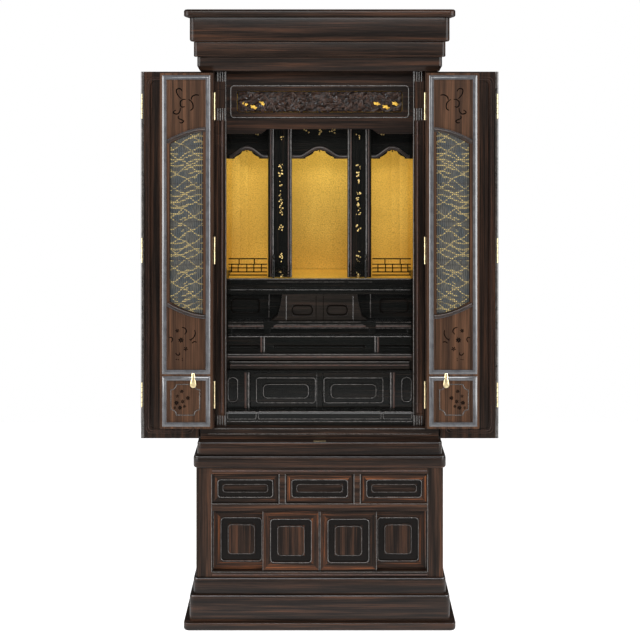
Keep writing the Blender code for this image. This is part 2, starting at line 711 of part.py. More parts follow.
def build_pull(title, x, top, back_y, axis):
    """A drop pull: a round boss above a drop that widens downwards."""
    boss = PULL_WIDTH / 3
    drop = PULL_WIDTH / 2
    outline = []
    for step in range(PULL_STEPS + 1):
        turn = math.radians(180 * step / PULL_STEPS)
        outline.append((x + boss * math.cos(turn), top - boss + boss * math.sin(turn)))
    for step in range(PULL_STEPS + 1):
        turn = math.radians(180 + 180 * step / PULL_STEPS)
        outline.append((x + drop * math.cos(turn), top - PULL_LENGTH + drop + drop * math.sin(turn)))
    prism(title, [outline], (back_y - PULL_THICKNESS, back_y), "XZ", "brass", axis)


def build_hinges(side, hand, z):
    leaf_z = (z[0] + FLOOR_THICKNESS + INNER_BOTTOM_GAP, z[1] - INNER_TOP_GAP)
    high = leaf_z[1] - HINGE_FROM_TOP
    low = leaf_z[0] + HINGE_FROM_BOTTOM
    for place, centre in (("lower", low), ("middle", (low + high) / 2), ("upper", high)):
        bpy.ops.mesh.primitive_cylinder_add(vertices=12, radius=HINGE_RADIUS, depth=HINGE_LENGTH)
        barrel = bpy.context.object
        barrel.name = f"hinge_barrel_{hand}_{place}"
        barrel.data.shade_smooth()
        barrel.data.set_sharp_from_angle(angle=math.radians(40))
        settle(barrel, "brass", None)
        barrel.location = (side * INNER_AXIS_X, DOOR_Y, centre)


def build_pilaster(side, hand, z):
    """A square pilaster with raised fluted blocks and a stepped foot."""
    floor = z[0] + FLOOR_THICKNESS + JOINT_GAP
    top = z[1] - JOINT_GAP
    blocks = [(floor + low, floor + high) for low, high in PILASTER_LOW_BLOCKS]
    blocks += [(top - high, top - low) for low, high in PILASTER_HIGH_BLOCKS]
    profile = [(PILASTER_Y + PILASTER_DEPTH, floor), (PILASTER_Y, floor)]
    for low, high in blocks:
        profile.append((PILASTER_Y, low))
        profile.append((PILASTER_Y - PILASTER_BLOCK_RAISE, low))
        profile.append((PILASTER_Y - PILASTER_BLOCK_RAISE, high))
        profile.append((PILASTER_Y, high))
    profile += [(PILASTER_Y, top), (PILASTER_Y + PILASTER_DEPTH, top)]
    outer = INNER_AXIS_X + RUN_GAP - PILASTER_CLEARANCE
    prism(f"pilaster_{hand}", [profile], mirrored(side, (PILASTER_INNER_X, outer)), "YZ", "ebony")


def carving_height(across, up):
    """Depth of the carved relief: three blossoms among running leaves, as shares of its depth."""
    leaves = 0.45 + 0.30 * math.sin(across * 46) * math.cos(up * 9 + across * 17)
    blossoms = 0.0
    for centre in BLOSSOM_PLACES:
        aside = (across - centre) * BLOSSOM_STRETCH
        distance = math.hypot(aside, up)
        petals = 0.5 + 0.5 * math.cos(5 * math.atan2(up, aside))
        blossoms = max(blossoms, math.exp(-1.6 * distance * distance) * (0.7 + 0.3 * petals))
    return min(1.0, max(leaves, blossoms))


def build_transom(z):
    """Framed transom with a rounded window, openwork relief in it and gold sheet behind."""
    half = PILASTER_INNER_X - PILASTER_CLEARANCE
    top = z[1] - JOINT_GAP
    low = top - TRANSOM_HEIGHT
    front = PILASTER_Y + TRANSOM_SETBACK
    back = front + TRANSOM_DEPTH
    middle_low = low + TRANSOM_MIDDLE_LIFT
    lower_edge = [(-half, low), (-TRANSOM_LIFT_START, low), (-TRANSOM_LIFT_END, middle_low)]
    upper_edge = [(-x, height) for x, height in lower_edge[::-1]]
    outline = lower_edge + upper_edge + [(half, top), (-half, top)]
    frame = prism("transom_frame", [outline], (front, back), "XZ", "ebony")
    moulding_z = (low + MOULDING_BOTTOM, low + MOULDING_TOP)
    moulding = rounded((-MOULDING_HALF, MOULDING_HALF), moulding_z, MOULDING_RADIUS)
    beyond = rectangle((-half - RING_WALL, half + RING_WALL), (low - RING_WALL, top + RING_WALL))
    cut(frame, [beyond, moulding], (front - RING_WALL, front + TRANSOM_FIELD_SINK))
    window_z = (low + CARVING_BOTTOM, low + CARVING_TOP)
    window = rounded((-CARVING_HALF, CARVING_HALF), window_z, MOULDING_RADIUS / 2)
    cut(frame, [window], (front - RING_WALL, back + RING_WALL))
    backing_x = (-CARVING_HALF - BACKING_LAP, CARVING_HALF + BACKING_LAP)
    backing_z = (window_z[0] - BACKING_LAP, window_z[1] + BACKING_LAP)
    backing_y = (back + JOINT_GAP, back + JOINT_GAP + GOLD_SHEET)
    block("transom_gold_sheet", backing_x, backing_y, backing_z, "gold_paper")
    build_carving(window_z, back)


def build_carving(window_z, back):
    """A relief on a grid: its front follows carving_height, its back is flat."""
    inset = MOULDING_RADIUS / 6
    x = shrunk((-CARVING_HALF, CARVING_HALF), inset)
    z = shrunk(window_z, inset)
    bm = bmesh.new()

    def grid(depth_at):
        rows = []
        for row in range(CARVING_ROWS + 1):
            up = 2 * row / CARVING_ROWS - 1
            places = [2 * column / CARVING_COLUMNS - 1 for column in range(CARVING_COLUMNS + 1)]
            height = z[0] + (z[1] - z[0]) * (up + 1) / 2
            rows.append([bm.verts.new((x[1] * across, depth_at(across, up), height)) for across in places])
        return rows

    front = grid(lambda across, up: back - CARVING_THICKNESS - CARVING_RELIEF * carving_height(across, up))
    for lower, upper in zip(front, front[1:]):
        for k in range(CARVING_COLUMNS):
            bm.faces.new((lower[k], lower[k + 1], upper[k + 1], upper[k]))
    left = [row[0] for row in front]
    right = [row[-1] for row in front]
    rim = front[0] + right[1:] + front[-1][-2::-1] + left[-2:0:-1]
    behind = [bm.verts.new((vert.co.x, back - JOINT_GAP, vert.co.z)) for vert in rim]
    for k in range(len(rim)):
        after = (k + 1) % len(rim)
        bm.faces.new((rim[after], rim[k], behind[k], behind[after]))
    bm.faces.new(behind)
    bmesh.ops.dissolve_limit(bm, angle_limit=1e-4, verts=behind, edges=[])
    from_bmesh("transom_carving", bm, "carved_wood")


def arch_edge(centre, half, low):
    """One cusped arch in the valance's lower edge, left to right."""
    steps = 4
    side = []
    for step in range(steps + 1):
        turn = math.radians(90 * step / steps)
        reach = half * (1 - ARCH_NARROWING * math.sin(turn) ** 2)
        side.append((reach, ARCH_STEP + (ARCH_RISE - 2 * ARCH_STEP) * (1 - math.cos(turn))))
    side.append((half * ARCH_CUSP, ARCH_RISE - ARCH_STEP))
    side.insert(0, (half, 0.0))
    left = [(centre - reach, low + lift) for reach, lift in side]
    right = [(centre + reach, low + lift) for reach, lift in side[::-1]]
    return left + [(centre, low + ARCH_RISE)] + right


def build_valance(z):
    """A board across the niche whose lower edge has three cusped arches."""
    half = INNER_SIDE_X
    outline = [(-half, z[0])]
    arches = ((-SIDE_ARCH_X, SIDE_ARCH_HALF), (0.0, CENTRE_ARCH_HALF), (SIDE_ARCH_X, SIDE_ARCH_HALF))
    for centre, arch_half in arches:
        outline += arch_edge(centre, arch_half, z[0])
    outline += [(half, z[0]), (half, z[1]), (-half, z[1])]
    prism("arch_valance", [outline], (VALANCE_Y, VALANCE_Y + VALANCE_DEPTH), "XZ", "inlaid_lacquer")


def build_column(side, hand, span):
    """A flat altar column between two round beads."""
    outer, inner = side * COLUMN_OUTER_X, side * COLUMN_INNER_X
    steps = 3
    outline = [(outer, COLUMN_Y + COLUMN_DEPTH)]
    for start, end in ((outer, outer - side * COLUMN_BEAD), (inner + side * COLUMN_BEAD, inner)):
        middle, radius = (start + end) / 2, (start - end) / 2
        for step in range(steps + 1):
            turn = math.radians(180 * step / steps)
            raised = COLUMN_FACE_SINK * math.sin(turn)
            outline.append((middle + radius * math.cos(turn), COLUMN_Y + COLUMN_FACE_SINK - raised))
    outline.append((inner, COLUMN_Y + COLUMN_DEPTH))
    prism(f"altar_column_{hand}", [outline], span, "XY", "inlaid_lacquer")


def build_backdrop(span):
    """The gold sheet behind the altar, its ends curved forward along the side walls."""
    half = INNER_SIDE_X

    def path(inset):
        right = []
        for step in range(BACKDROP_STEPS + 1):
            turn = math.radians(90 * step / BACKDROP_STEPS)
            x = half - inset - BACKDROP_CORNER_X * (1 - math.cos(turn))
            y = BACKDROP_Y - inset - BACKDROP_CORNER_Y * (1 - math.sin(turn))
            right.append((x, y))
        return right + [(-x, y) for x, y in right[::-1]]

    outline = path(0.0) + path(BACKDROP_THICKNESS)[::-1]
    prism("gold_backdrop", [outline], span, "XY", "gold_paper")


def railing_bays(posts, low, high, start, end):
    """Open bays between posts, from start inwards to end."""
    half = RAIL_THICKNESS / 2
    edges = [start] + [place for post in posts for place in (post + half, post - half)] + [end]
    return [rectangle(pair, (low, high)) for pair in zip(edges[::2], edges[1::2])]


def build_railing(side, hand, bottom):
    """A low fence with a newel, and a wing that sweeps down past it towards the middle."""
    half = RAIL_THICKNESS / 2
    levels = [bottom + level for level in RAIL_LEVELS]
    start = INNER_SIDE_X
    newel_out, newel_in = NEWEL_X + NEWEL_WIDTH / 2, NEWEL_X - NEWEL_WIDTH / 2
    shoulder = bottom + NEWEL_HEIGHT * NEWEL_SHOULDER
    outline = [(start, bottom), (WING_TIP_X, bottom), (WING_TIP_X, bottom + WING_TIP_HEIGHT)]
    rise = RAIL_LEVELS[2] - WING_TIP_HEIGHT
    for step in range(1, WING_STEPS + 1):
        share = step / WING_STEPS
        x = WING_TIP_X + (newel_in - WING_TIP_X) * share
        outline.append((x, bottom + WING_TIP_HEIGHT + rise * share ** WING_SWEEP))
    outline += [(newel_in, shoulder), (NEWEL_X, bottom + NEWEL_HEIGHT), (newel_out, shoulder)]
    outline += [(newel_out, levels[3] + half), (start, levels[3] + half)]
    first = start - RAIL_THICKNESS
    bays = railing_bays(UPPER_POSTS_X, levels[2] + half, levels[3] - half, first, newel_out)
    bays += railing_bays((), levels[1] + half, levels[2] - half, first, newel_out)
    bays += railing_bays(LOWER_POSTS_X, levels[0] + half, levels[1] - half, first, newel_out)
    bays += railing_bays(LOWER_POSTS_X, bottom + RAIL_THICKNESS, levels[0] - half, first, newel_out)
    wing_foot = (WING_TIP_X + newel_in) / 2
    bays.append([
        (newel_in - RAIL_THICKNESS, bottom + RAIL_THICKNESS),
        (wing_foot, bottom + RAIL_THICKNESS),
        (newel_in - RAIL_THICKNESS, levels[1] - RAIL_THICKNESS),
    ])
    outlines = [[(side * x, height) for x, height in shape] for shape in [outline] + bays]
    front = STAGE_NOSE_Y + RAILING_SETBACK
    prism(f"altar_railing_{hand}", outlines, (front, front + RAILING_DEPTH), "XZ", "black_lacquer")


def build_stage(z):
    """The altar stage: a moulded edge over a set-back body, hollow underneath."""
    half = INNER_SIDE_X
    low, top = z
    nose_low = top - STAGE_NOSE
    frieze_low = nose_low - STAGE_FRIEZE
    moulding_low = frieze_low - STAGE_MOULDING
    frieze_y = STAGE_NOSE_Y + STAGE_FRIEZE_SINK
    moulding_y = STAGE_NOSE_Y + STAGE_MOULDING_SINK
    body_y = STAGE_NOSE_Y + STAGE_BODY_SINK
    profile = [
        (STAGE_NOSE_Y, top), (STAGE_NOSE_Y, nose_low), (frieze_y, nose_low), (frieze_y, frieze_low),
        (moulding_y, frieze_low), (moulding_y, moulding_low), (body_y, moulding_low), (body_y, low),
        (body_y + STAGE_BOARD, low), (body_y + STAGE_BOARD, top - STAGE_BOARD),
        (INNER_BACK_Y, top - STAGE_BOARD), (INNER_BACK_Y, top),
    ]
    stage = prism("altar_stage", [profile], (-half, half), "YZ", "black_lacquer")
    groove_middle = (nose_low + frieze_low) / 2
    groove_z = (groove_middle - GROOVE_HEIGHT / 2, groove_middle + GROOVE_HEIGHT / 2)
    grooves = [rounded((-STAGE_GROOVE_HALF, STAGE_GROOVE_HALF), groove_z, GROOVE_HEIGHT / 2)]
    panel_z = (low + STAGE_PANEL_LOW, moulding_low - STAGE_PANEL_HIGH)
    panels = []
    for side in (-1, 1):
        grooves.append(rounded(from_wall(side, STAGE_SIDE_GROOVE), groove_z, GROOVE_HEIGHT / 2))
        panels.append(rounded(from_wall(side, STAGE_SIDE_PANEL), panel_z, GROOVE_HEIGHT / 2))
    cut(stage, grooves, (frieze_y - STAGE_BOARD, frieze_y + GROOVE_DEPTH))
    cut(stage, panels, (body_y - STAGE_BOARD, body_y + GROOVE_DEPTH))
    build_dais((low, moulding_low - JOINT_GAP), (moulding_y + DAIS_SETBACK, body_y - JOINT_GAP))


def build_dais(z, span):
    """The low dais in front of the stage, with flared sides and two sunk slots."""
    flare = DAIS_HALF_BOTTOM - DAIS_HALF_TOP
    right = []
    for step in range(DAIS_STEPS + 1):
        share = step / DAIS_STEPS
        x = DAIS_HALF_BOTTOM - flare * share ** DAIS_FLARE_POWER
        right.append((x, z[0] + (z[1] - z[0]) * share ** DAIS_RISE_POWER))
    outline = right + [(-x, height) for x, height in right[::-1]]
    dais = prism("altar_dais", [outline], span, "XZ", "black_lacquer")
    slot_z = (z[0] + DAIS_SLOT_LOW, z[1] - DAIS_SLOT_HIGH)
    slots = [rounded(mirrored(side, DAIS_SLOT), slot_z, GROOVE_HEIGHT / 2) for side in (-1, 1)]
    cut(dais, slots, (span[0] - STAGE_BOARD, span[0] + GROOVE_DEPTH))


def build_step_shelf(z):
    """A shelf face with long grooves, and over it a stepped board on small blocks."""
    half = INNER_SIDE_X
    low, top = z
    face_top = low + STEP_FACE
    recess_top = face_top + STEP_RECESS
    recess_y = STEP_SHELF_Y + STEP_RECESS_SINK
    nose_y = STEP_SHELF_Y + STEP_NOSE_SINK
    profile = [
        (STEP_SHELF_Y, low), (STEP_SHELF_Y, face_top), (recess_y, face_top), (recess_y, recess_top),
        (nose_y, recess_top), (nose_y, top), (INNER_BACK_Y, top), (INNER_BACK_Y, top - STEP_BOARD),
        (recess_y + STEP_BOARD, top - STEP_BOARD), (recess_y + STEP_BOARD, low),
    ]
    shelf = prism("step_shelf", [profile], (-half, half), "YZ", "black_lacquer")
    groove_z = (low + STEP_GROOVE_LOW, low + STEP_GROOVE_LOW + GROOVE_HEIGHT)
    grooves = [rounded((-STEP_GROOVE_HALF, STEP_GROOVE_HALF), groove_z, GROOVE_HEIGHT / 2)]
    blocks = []
    sink = STEP_BOARD / 10
    for side in (-1, 1):
        grooves.append(rounded(from_wall(side, STEP_SIDE_GROOVE), groove_z, GROOVE_HEIGHT / 2))
        for inset in STEP_BLOCK_FROM_WALL:
            reach = from_wall(side, (inset - STEP_BLOCK_WIDTH / 2, inset + STEP_BLOCK_WIDTH / 2))
            blocks.append(rectangle(reach, (face_top - sink, recess_top + sink)))
    cut(shelf, grooves, (STEP_SHELF_Y - STEP_BOARD, STEP_SHELF_Y + GROOVE_DEPTH))
    block_y = (nose_y + STEP_BOARD / 2, recess_y + sink)
    combine(shelf, prism("step_shelf_blocks", blocks, block_y, "XZ"), "UNION")


def build_tray(z):
    """A pull-out serving tray that runs under its own shelf."""
    half = INNER_SIDE_X
    bottom, top = z
    inner = TRAY_HALF + RUN_GAP
    under = top - TRAY_SHELF_BOARD
    outline = [
        (-half, bottom), (-inner, bottom), (-inner, under), (inner, under),
        (inner, bottom), (half, bottom), (half, top), (-half, top),
    ]
    prism("tray_shelf", [outline], (TRAY_SHELF_Y, INNER_BACK_Y), "XZ", "ebony")
    tray_z = (bottom + RUN_GAP / 2, bottom + RUN_GAP / 2 + TRAY_HEIGHT)
    tray_y = (TRAY_Y, INNER_BACK_Y - TRAY_END_SPACE)
    tray = block("serving_tray", (-TRAY_HALF, TRAY_HALF), tray_y, tray_z, "ebony")
    inside = [rectangle(shrunk((-TRAY_HALF, TRAY_HALF), TRAY_FRONT), (tray_z[0] + TRAY_BOARD, top))]
    cut(tray, inside, shrunk(tray_y, TRAY_FRONT))


def build_drawer_housing(z):
    """The case of the two inner drawers, with an oval panel at each side."""
    half = INNER_SIDE_X
    back_y = INNER_BACK_Y
    housing = block("drawer_housing", (-half, half), (HOUSING_Y, back_y), z, "black_lacquer")
    bay_z = (z[0] + SILL_MOULDING_HEIGHT + SILL_CLEARANCE, z[1] - BAY_TOP_WALL)
    bays = []
    ovals = []
    for side, hand in ((-1, "left"), (1, "right")):
        bay_x = mirrored(side, (BAY_INNER_X, BAY_OUTER_X))
        bays.append(rectangle(bay_x, bay_z))
        ovals.append(rounded(from_wall(side, OVAL_FROM_WALL), shrunk(bay_z, OVAL_MARGIN), OVAL_RADIUS))
        drawer_y = (HOUSING_Y + DRAWER_SETBACK, back_y - INNER_DRAWER_END_SPACE)
        frame_x = mirrored(side, (BAY_INNER_X + FRAME_INNER_SPACE, BAY_OUTER_X - FRAME_OUTER_SPACE))
        build_drawer(f"inner_drawer_{hand}", bay_x, bay_z, drawer_y, frame_x)
    cut(housing, bays, (HOUSING_Y - HOUSING_WALL, back_y - HOUSING_WALL))
    cut(housing, ovals, (HOUSING_Y - HOUSING_WALL, HOUSING_Y + GROOVE_DEPTH))


def build_inner_sill(low):
    """The low moulded sill between the pilasters, its top stepped back in a round."""
    back = HOUSING_Y - JOINT_GAP
    top = low + SILL_MOULDING_HEIGHT
    profile = [(back, low), (SILL_MOULDING_Y, low)]
    for step in range(CORNER_STEPS + 1):
        turn = math.radians(90 * step / CORNER_STEPS)
        sunk = SILL_MOULDING_STEP * (1 - math.cos(turn))
        profile.append((SILL_MOULDING_Y + sunk, top - SILL_MOULDING_STEP * (1 - math.sin(turn))))
    profile.append((back, top))
    half = PILASTER_INNER_X - PILASTER_CLEARANCE
    prism("inner_sill", [profile], (-half, half), "YZ", "black_lacquer")


def build_cabinet():
    clear_scene()
    make_finishes()
    levels = stacked_layers()
    build_stack(levels)
    build_cornice_cove(levels["cornice_cove"])
    build_base(levels["base_body"])
    upper = levels["upper_body"]
    inner = inner_levels(upper)
    build_upper_body(upper)
    for side, hand in ((-1, "left"), (1, "right")):
        build_outer_leaves(side, hand, upper)
        build_inner_leaves(side, hand, upper)
        build_hinges(side, hand, upper)
        build_pilaster(side, hand, upper)
        build_column(side, hand, inner["over_stage"])
        build_railing(side, hand, inner["over_stage"][0])
    build_transom(upper)
    build_valance(inner["valance"])
    build_backdrop(inner["over_stage"])
    build_stage(inner["stage"])
    build_step_shelf(inner["step_shelf"])
    build_tray(inner["tray"])
    build_drawer_housing(inner["housing"])
    build_inner_sill(inner["housing"][0])


build_cabinet()
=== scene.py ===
# %% [markdown]
# The cabinet stands open, so that its folding doors, gold niche and drawers all show.
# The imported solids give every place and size. This script adds the finish of each
# surface and the fine work: mouldings, carving, woven panels, brass and gold sprigs.

# %% Load the frame
import json
import math

import bmesh
import bpy
import numpy as np
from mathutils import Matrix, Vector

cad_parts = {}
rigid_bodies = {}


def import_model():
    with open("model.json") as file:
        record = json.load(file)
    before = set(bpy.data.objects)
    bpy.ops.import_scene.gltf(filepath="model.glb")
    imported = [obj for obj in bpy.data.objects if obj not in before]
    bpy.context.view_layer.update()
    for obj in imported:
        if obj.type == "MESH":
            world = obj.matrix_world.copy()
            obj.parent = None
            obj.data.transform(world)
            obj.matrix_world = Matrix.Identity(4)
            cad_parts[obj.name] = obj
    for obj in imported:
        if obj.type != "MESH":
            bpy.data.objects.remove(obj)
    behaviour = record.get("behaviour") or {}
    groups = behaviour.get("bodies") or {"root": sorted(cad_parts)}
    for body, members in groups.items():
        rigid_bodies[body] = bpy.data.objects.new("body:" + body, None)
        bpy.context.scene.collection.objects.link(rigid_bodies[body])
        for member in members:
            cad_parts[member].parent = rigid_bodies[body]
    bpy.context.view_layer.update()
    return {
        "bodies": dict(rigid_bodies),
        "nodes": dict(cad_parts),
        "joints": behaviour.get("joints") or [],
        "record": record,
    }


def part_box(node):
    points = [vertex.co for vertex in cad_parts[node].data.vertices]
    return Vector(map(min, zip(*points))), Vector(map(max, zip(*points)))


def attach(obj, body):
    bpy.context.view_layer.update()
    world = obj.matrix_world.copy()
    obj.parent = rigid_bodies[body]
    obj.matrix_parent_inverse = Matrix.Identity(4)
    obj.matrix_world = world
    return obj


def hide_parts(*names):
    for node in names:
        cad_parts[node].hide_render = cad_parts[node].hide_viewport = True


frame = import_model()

nodes = frame["nodes"]
body_of = {name: body for body, names in frame["record"]["behaviour"]["bodies"].items() for name in names}
SIDES = ((-1, "left"), (1, "right"))

# %% [markdown]
# A product picture of a tall cabinet keeps its uprights parallel. The camera therefore
# looks level from eye height, and its lens is shifted down to frame the whole piece.
# A pitched camera would be simpler to aim, but would make the sides lean together.

# %% Camera
EYE = (0.0, -3.45, 1.28)
FOCAL_MM = 80.0
LENS_SHIFT = (0.0005, -0.4023)


def make_camera():
    lens = bpy.data.cameras.new("camera")
    lens.lens = FOCAL_MM
    lens.shift_x, lens.shift_y = LENS_SHIFT
    camera = bpy.data.objects.new("camera", lens)
    camera.location = EYE
    camera.rotation_euler = (math.radians(90), 0.0, 0.0)
    bpy.context.scene.collection.objects.link(camera)
    bpy.context.scene.camera = camera


make_camera()
print("camera at", EYE, "shift", LENS_SHIFT)

# %% [markdown]
# A shader is sums and products of patterns, so it reads best as Python arithmetic.
# Value wraps one socket, and an expression on Values adds the Math nodes for it.
# Paint.add makes any other node from its type, its settings and its inputs.

# %% Shader helpers
class Value:
    """A shader socket whose arithmetic adds Math nodes."""

    def __init__(self, paint, socket):
        self.paint = paint
        self.socket = socket

    def __add__(self, other):
        return self.paint.math("ADD", self, other)

    def __sub__(self, other):
        return self.paint.math("SUBTRACT", self, other)

    def __rsub__(self, other):
        return self.paint.math("SUBTRACT", other, self)

    def __mul__(self, other):
        return self.paint.math("MULTIPLY", self, other)

    def __gt__(self, other):
        return self.paint.math("GREATER_THAN", self, other)

    def __lt__(self, other):
        return self.paint.math("LESS_THAN", self, other)

    def __abs__(self):
        return self.paint.math("ABSOLUTE", self)

    __radd__ = __add__
    __rmul__ = __mul__


class Paint:
    """A node tree that is built from Python, and the material that it belongs to."""

    def __init__(self, tree, material=None):
        self.tree = tree
        self.material = material

    def add(self, kind, settings=None, inputs=None, output=0):
        node = self.tree.nodes.new(kind)
        for name, value in (settings or {}).items():
            if name == "stops":
                self.set_stops(node.color_ramp, value)
            else:
                setattr(node, name, value)
        for name, value in (inputs or {}).items():
            self.feed(node.inputs[name], value)
        return Value(self, node.outputs[output])

    def feed(self, socket, value):
        if isinstance(value, Value):
            self.tree.links.new(value.socket, socket)
        else:
            socket.default_value = value

    def set_stops(self, ramp, stops):
        while len(ramp.elements) < len(stops):
            ramp.elements.new(1.0)
        for element, (place, colour) in zip(ramp.elements, stops):
            element.position = place
            element.color = (*colour, 1.0)

    def math(self, operation, *terms):
        return self.add("ShaderNodeMath", {"operation": operation}, dict(enumerate(terms)))

    def place(self):
        return self.add("ShaderNodeTexCoord", output="Object")

    def split(self, vector):
        """The three parts of a vector."""
        separate = self.add("ShaderNodeSeparateXYZ", inputs={0: vector})
        return [Value(self, socket) for socket in separate.socket.node.outputs]

    def vector(self, x, y, z):
        return self.add("ShaderNodeCombineXYZ", inputs={0: x, 1: y, 2: z})

    def noise(self, vector, scale=1.0, detail=2.0, roughness=0.5):
        inputs = {"Vector": vector, "Scale": scale, "Detail": detail, "Roughness": roughness}
        return self.add("ShaderNodeTexNoise", inputs=inputs)

    def ramp(self, value, stops):
        return self.add("ShaderNodeValToRGB", {"stops": stops}, {"Fac": value})

    def blend(self, share, first, second):
        colours = [colour if isinstance(colour, Value) else (*colour, 1.0) for colour in (first, second)]
        return self.add("ShaderNodeMix", {"data_type": "RGBA"}, {0: share, 6: colours[0], 7: colours[1]}, 2)

    def step(self, value, low, high):
        """0 below low, 1 above high and a smooth rise between."""
        inputs = {"Value": value, "From Min": low, "From Max": high}
        return self.add("ShaderNodeMapRange", {"interpolation_type": "SMOOTHSTEP"}, inputs)

    def lines(self, value, pitch, width):
        """1 on lines that repeat every pitch metres."""
        return self.math("PINGPONG", value, pitch / 2) < width / 2


def finish(paint, colour, roughness=0.4, metallic=0.0, bump=None, **constants):
    """Ends a material: colour and roughness may be Values, constants sit on the shader."""
    shader = paint.tree.nodes["Principled BSDF"]
    paint.feed(shader.inputs["Base Color"], colour if isinstance(colour, Value) else (*colour, 1.0))
    paint.feed(shader.inputs["Roughness"], roughness)
    paint.feed(shader.inputs["Metallic"], metallic)
    for name, value in constants.items():
        shader.inputs[name].default_value = value
    if bump is not None:
        height, distance = bump
        normal = paint.add("ShaderNodeBump", inputs={"Height": height, "Distance": distance})
        paint.feed(shader.inputs["Normal"], normal)
    return paint.material


def new_paint(title):
    """A fresh material and the Paint that fills its tree."""
    material = bpy.data.materials.new(title)
    material.use_nodes = True
    return Paint(material.node_tree, material)


print("shader helpers ready")

# %% [markdown]
# The case is veneered in striped ebony: near-black heartwood with brown and rust lines
# that run for a hand's length and then fade. A wave texture would give even stripes.
# Noise that is stretched along the grain gives streaks of all widths, and two layers of
# it, one broad and one fine, give bands with hairlines inside them. The grain has to
# turn with the face: across the grain is height on a front, but depth on a top. Drawer
# and sliding door fronts are mitred frames, so there the grain also turns at the corners,
# and the sunk well inside each frame is painted dark as painted shade.

# %% Striped ebony and lacquer
def turned(amount, first, second):
    """first where amount is 0, second where it is 1."""
    return (second - first) * amount + first


def grain_places(paint, upright, mitre=None):
    """Metres along and across the grain, and from the edge.

    mitre is the front's middle x, half x, middle z, half z and frame width.
    """
    x, y, z = paint.split(paint.place())
    side, _, up = paint.split(paint.add("ShaderNodeTexCoord", output="Normal"))
    flat_x = turned(abs(side) > 0.7, x, y)
    flat_z = turned(abs(up) > 0.7, z, y)
    if mitre is None:
        return (z, flat_x, None) if upright else (flat_x, flat_z, None)
    middle_x, half_x, middle_z, half_z, frame_width = mitre
    from_end = half_x - abs(x - middle_x)
    from_edge = half_z - abs(z - middle_z)
    reach = paint.math("MINIMUM", from_end, from_edge)
    on_stile = turned(reach < frame_width, 1.0 if upright else 0.0, from_end < from_edge)
    return turned(on_stile, flat_x, z), turned(on_stile, flat_z, flat_x), reach


# Painted shade: the colour of the sunk well on a mitred front.
PAINTED_WELL_SHADE = (0.0045, 0.0032, 0.0026)
GRAIN_BUMP = 0.00006


def striped_wood(title, stops, upright, roughness=0.34, band=85.0, line=520.0, mitre=None,
                 frame=None, well=0.0, gloss=0.06):
    """Streaked wood: tone = 1.25 * broad + 0.95 * fine + 0.25 * hair noise, centred on 0.5.

    band and line are streaks per metre across the grain. On a mitred front, frame is the
    colours of its frame, and the ground is painted dark, a painted shade for its sunk well, up to well metres
    from its edge.
    """
    paint = new_paint(title)
    along, across, reach = grain_places(paint, upright, mitre)
    across = across + paint.noise(paint.vector(along * 3.0, across * 12.0, 0.5)) * 0.006
    broad = paint.noise(paint.vector(along * 2.0, across * band, 1.0), detail=3.0, roughness=0.6)
    fine = paint.noise(paint.vector(along * 7.0, across * line, 2.0), detail=3.0, roughness=0.6)
    hair = paint.noise(paint.vector(along * 40.0, across * line * 4, 3.0), detail=1.0)
    tone = broad * 1.25 + fine * 0.95 + hair * 0.25 - 0.725
    colour = paint.ramp(tone, stops)
    if frame is not None:
        colour = paint.blend(reach < well, colour, PAINTED_WELL_SHADE)
        colour = paint.blend(reach < mitre[4], colour, paint.ramp(tone, frame))
    return finish(paint, colour, paint.step(hair, 0.2, 0.8) * 0.10 + (roughness - 0.05),
                  bump=(fine + hair, GRAIN_BUMP),
                  **{"Coat Weight": gloss, "Coat Roughness": 0.10, "Specular IOR Level": 0.13})


def darker(stops, share):
    """The same stops with every colour times share."""
    return tuple((place, tuple(share * level for level in colour)) for place, colour in stops)


EBONY_STOPS = (
    (0.28, (0.007, 0.0045, 0.0034)),
    (0.47, (0.019, 0.0112, 0.0078)),
    (0.60, (0.041, 0.0215, 0.0140)),
    (0.80, (0.092, 0.0400, 0.0215)),
)
STREAKED_STOPS = (
    (0.30, (0.006, 0.0042, 0.0032)),
    (0.50, (0.019, 0.0105, 0.0070)),
    (0.61, (0.046, 0.0200, 0.0110)),
    (0.78, (0.165, 0.0540, 0.0190)),
)
UMBER_STOPS = (
    (0.30, (0.008, 0.0070, 0.0058)),
    (0.55, (0.017, 0.0135, 0.0110)),
    (0.80, (0.034, 0.0220, 0.0165)),
)
PANEL_STOPS = (
    (0.28, (0.026, 0.0135, 0.0080)),
    (0.48, (0.050, 0.0245, 0.0135)),
    (0.62, (0.076, 0.0370, 0.0200)),
    (0.80, (0.112, 0.0530, 0.0275)),
)
LACQUER_STOPS = (
    (0.30, (0.0035, 0.0042, 0.0038)),
    (0.60, (0.0070, 0.0068, 0.0058)),
    (0.85, (0.0180, 0.0120, 0.0090)),
)
FINISHES = {
    "ebony_upright": striped_wood("ebony_upright", EBONY_STOPS, True, band=70.0),
    "umber_level": striped_wood("umber_level", UMBER_STOPS, False, 0.30, gloss=0.20),
    "board_level": striped_wood("board_level", darker(EBONY_STOPS, 0.65), False, gloss=0.20),
    "leaf_upright": striped_wood("leaf_upright", darker(EBONY_STOPS, 0.60), True),
    "panel_upright": striped_wood("panel_upright", PANEL_STOPS, True, 0.42, band=80.0, gloss=0.04),
    "lacquer_level": striped_wood("lacquer_level", LACQUER_STOPS, False, 0.24, gloss=0.25),
    "lacquer_upright": striped_wood("lacquer_upright", LACQUER_STOPS, True, 0.24, gloss=0.25),
}


# Frame widths, and how far the painted shade of the sunk well reaches.
DRAWER_FRAME, DRAWER_WELL = 0.0130, 0.0222
SLIDER_FRAME, SLIDER_WELL = 0.0190, 0.0330
STILES_ONLY = (0.0, 0.280, 0.237, 1.0, 0.0358)
FLOOR_STRIP_ONLY = (0.0, 0.310, 0.850, 0.4324, 0.0255)


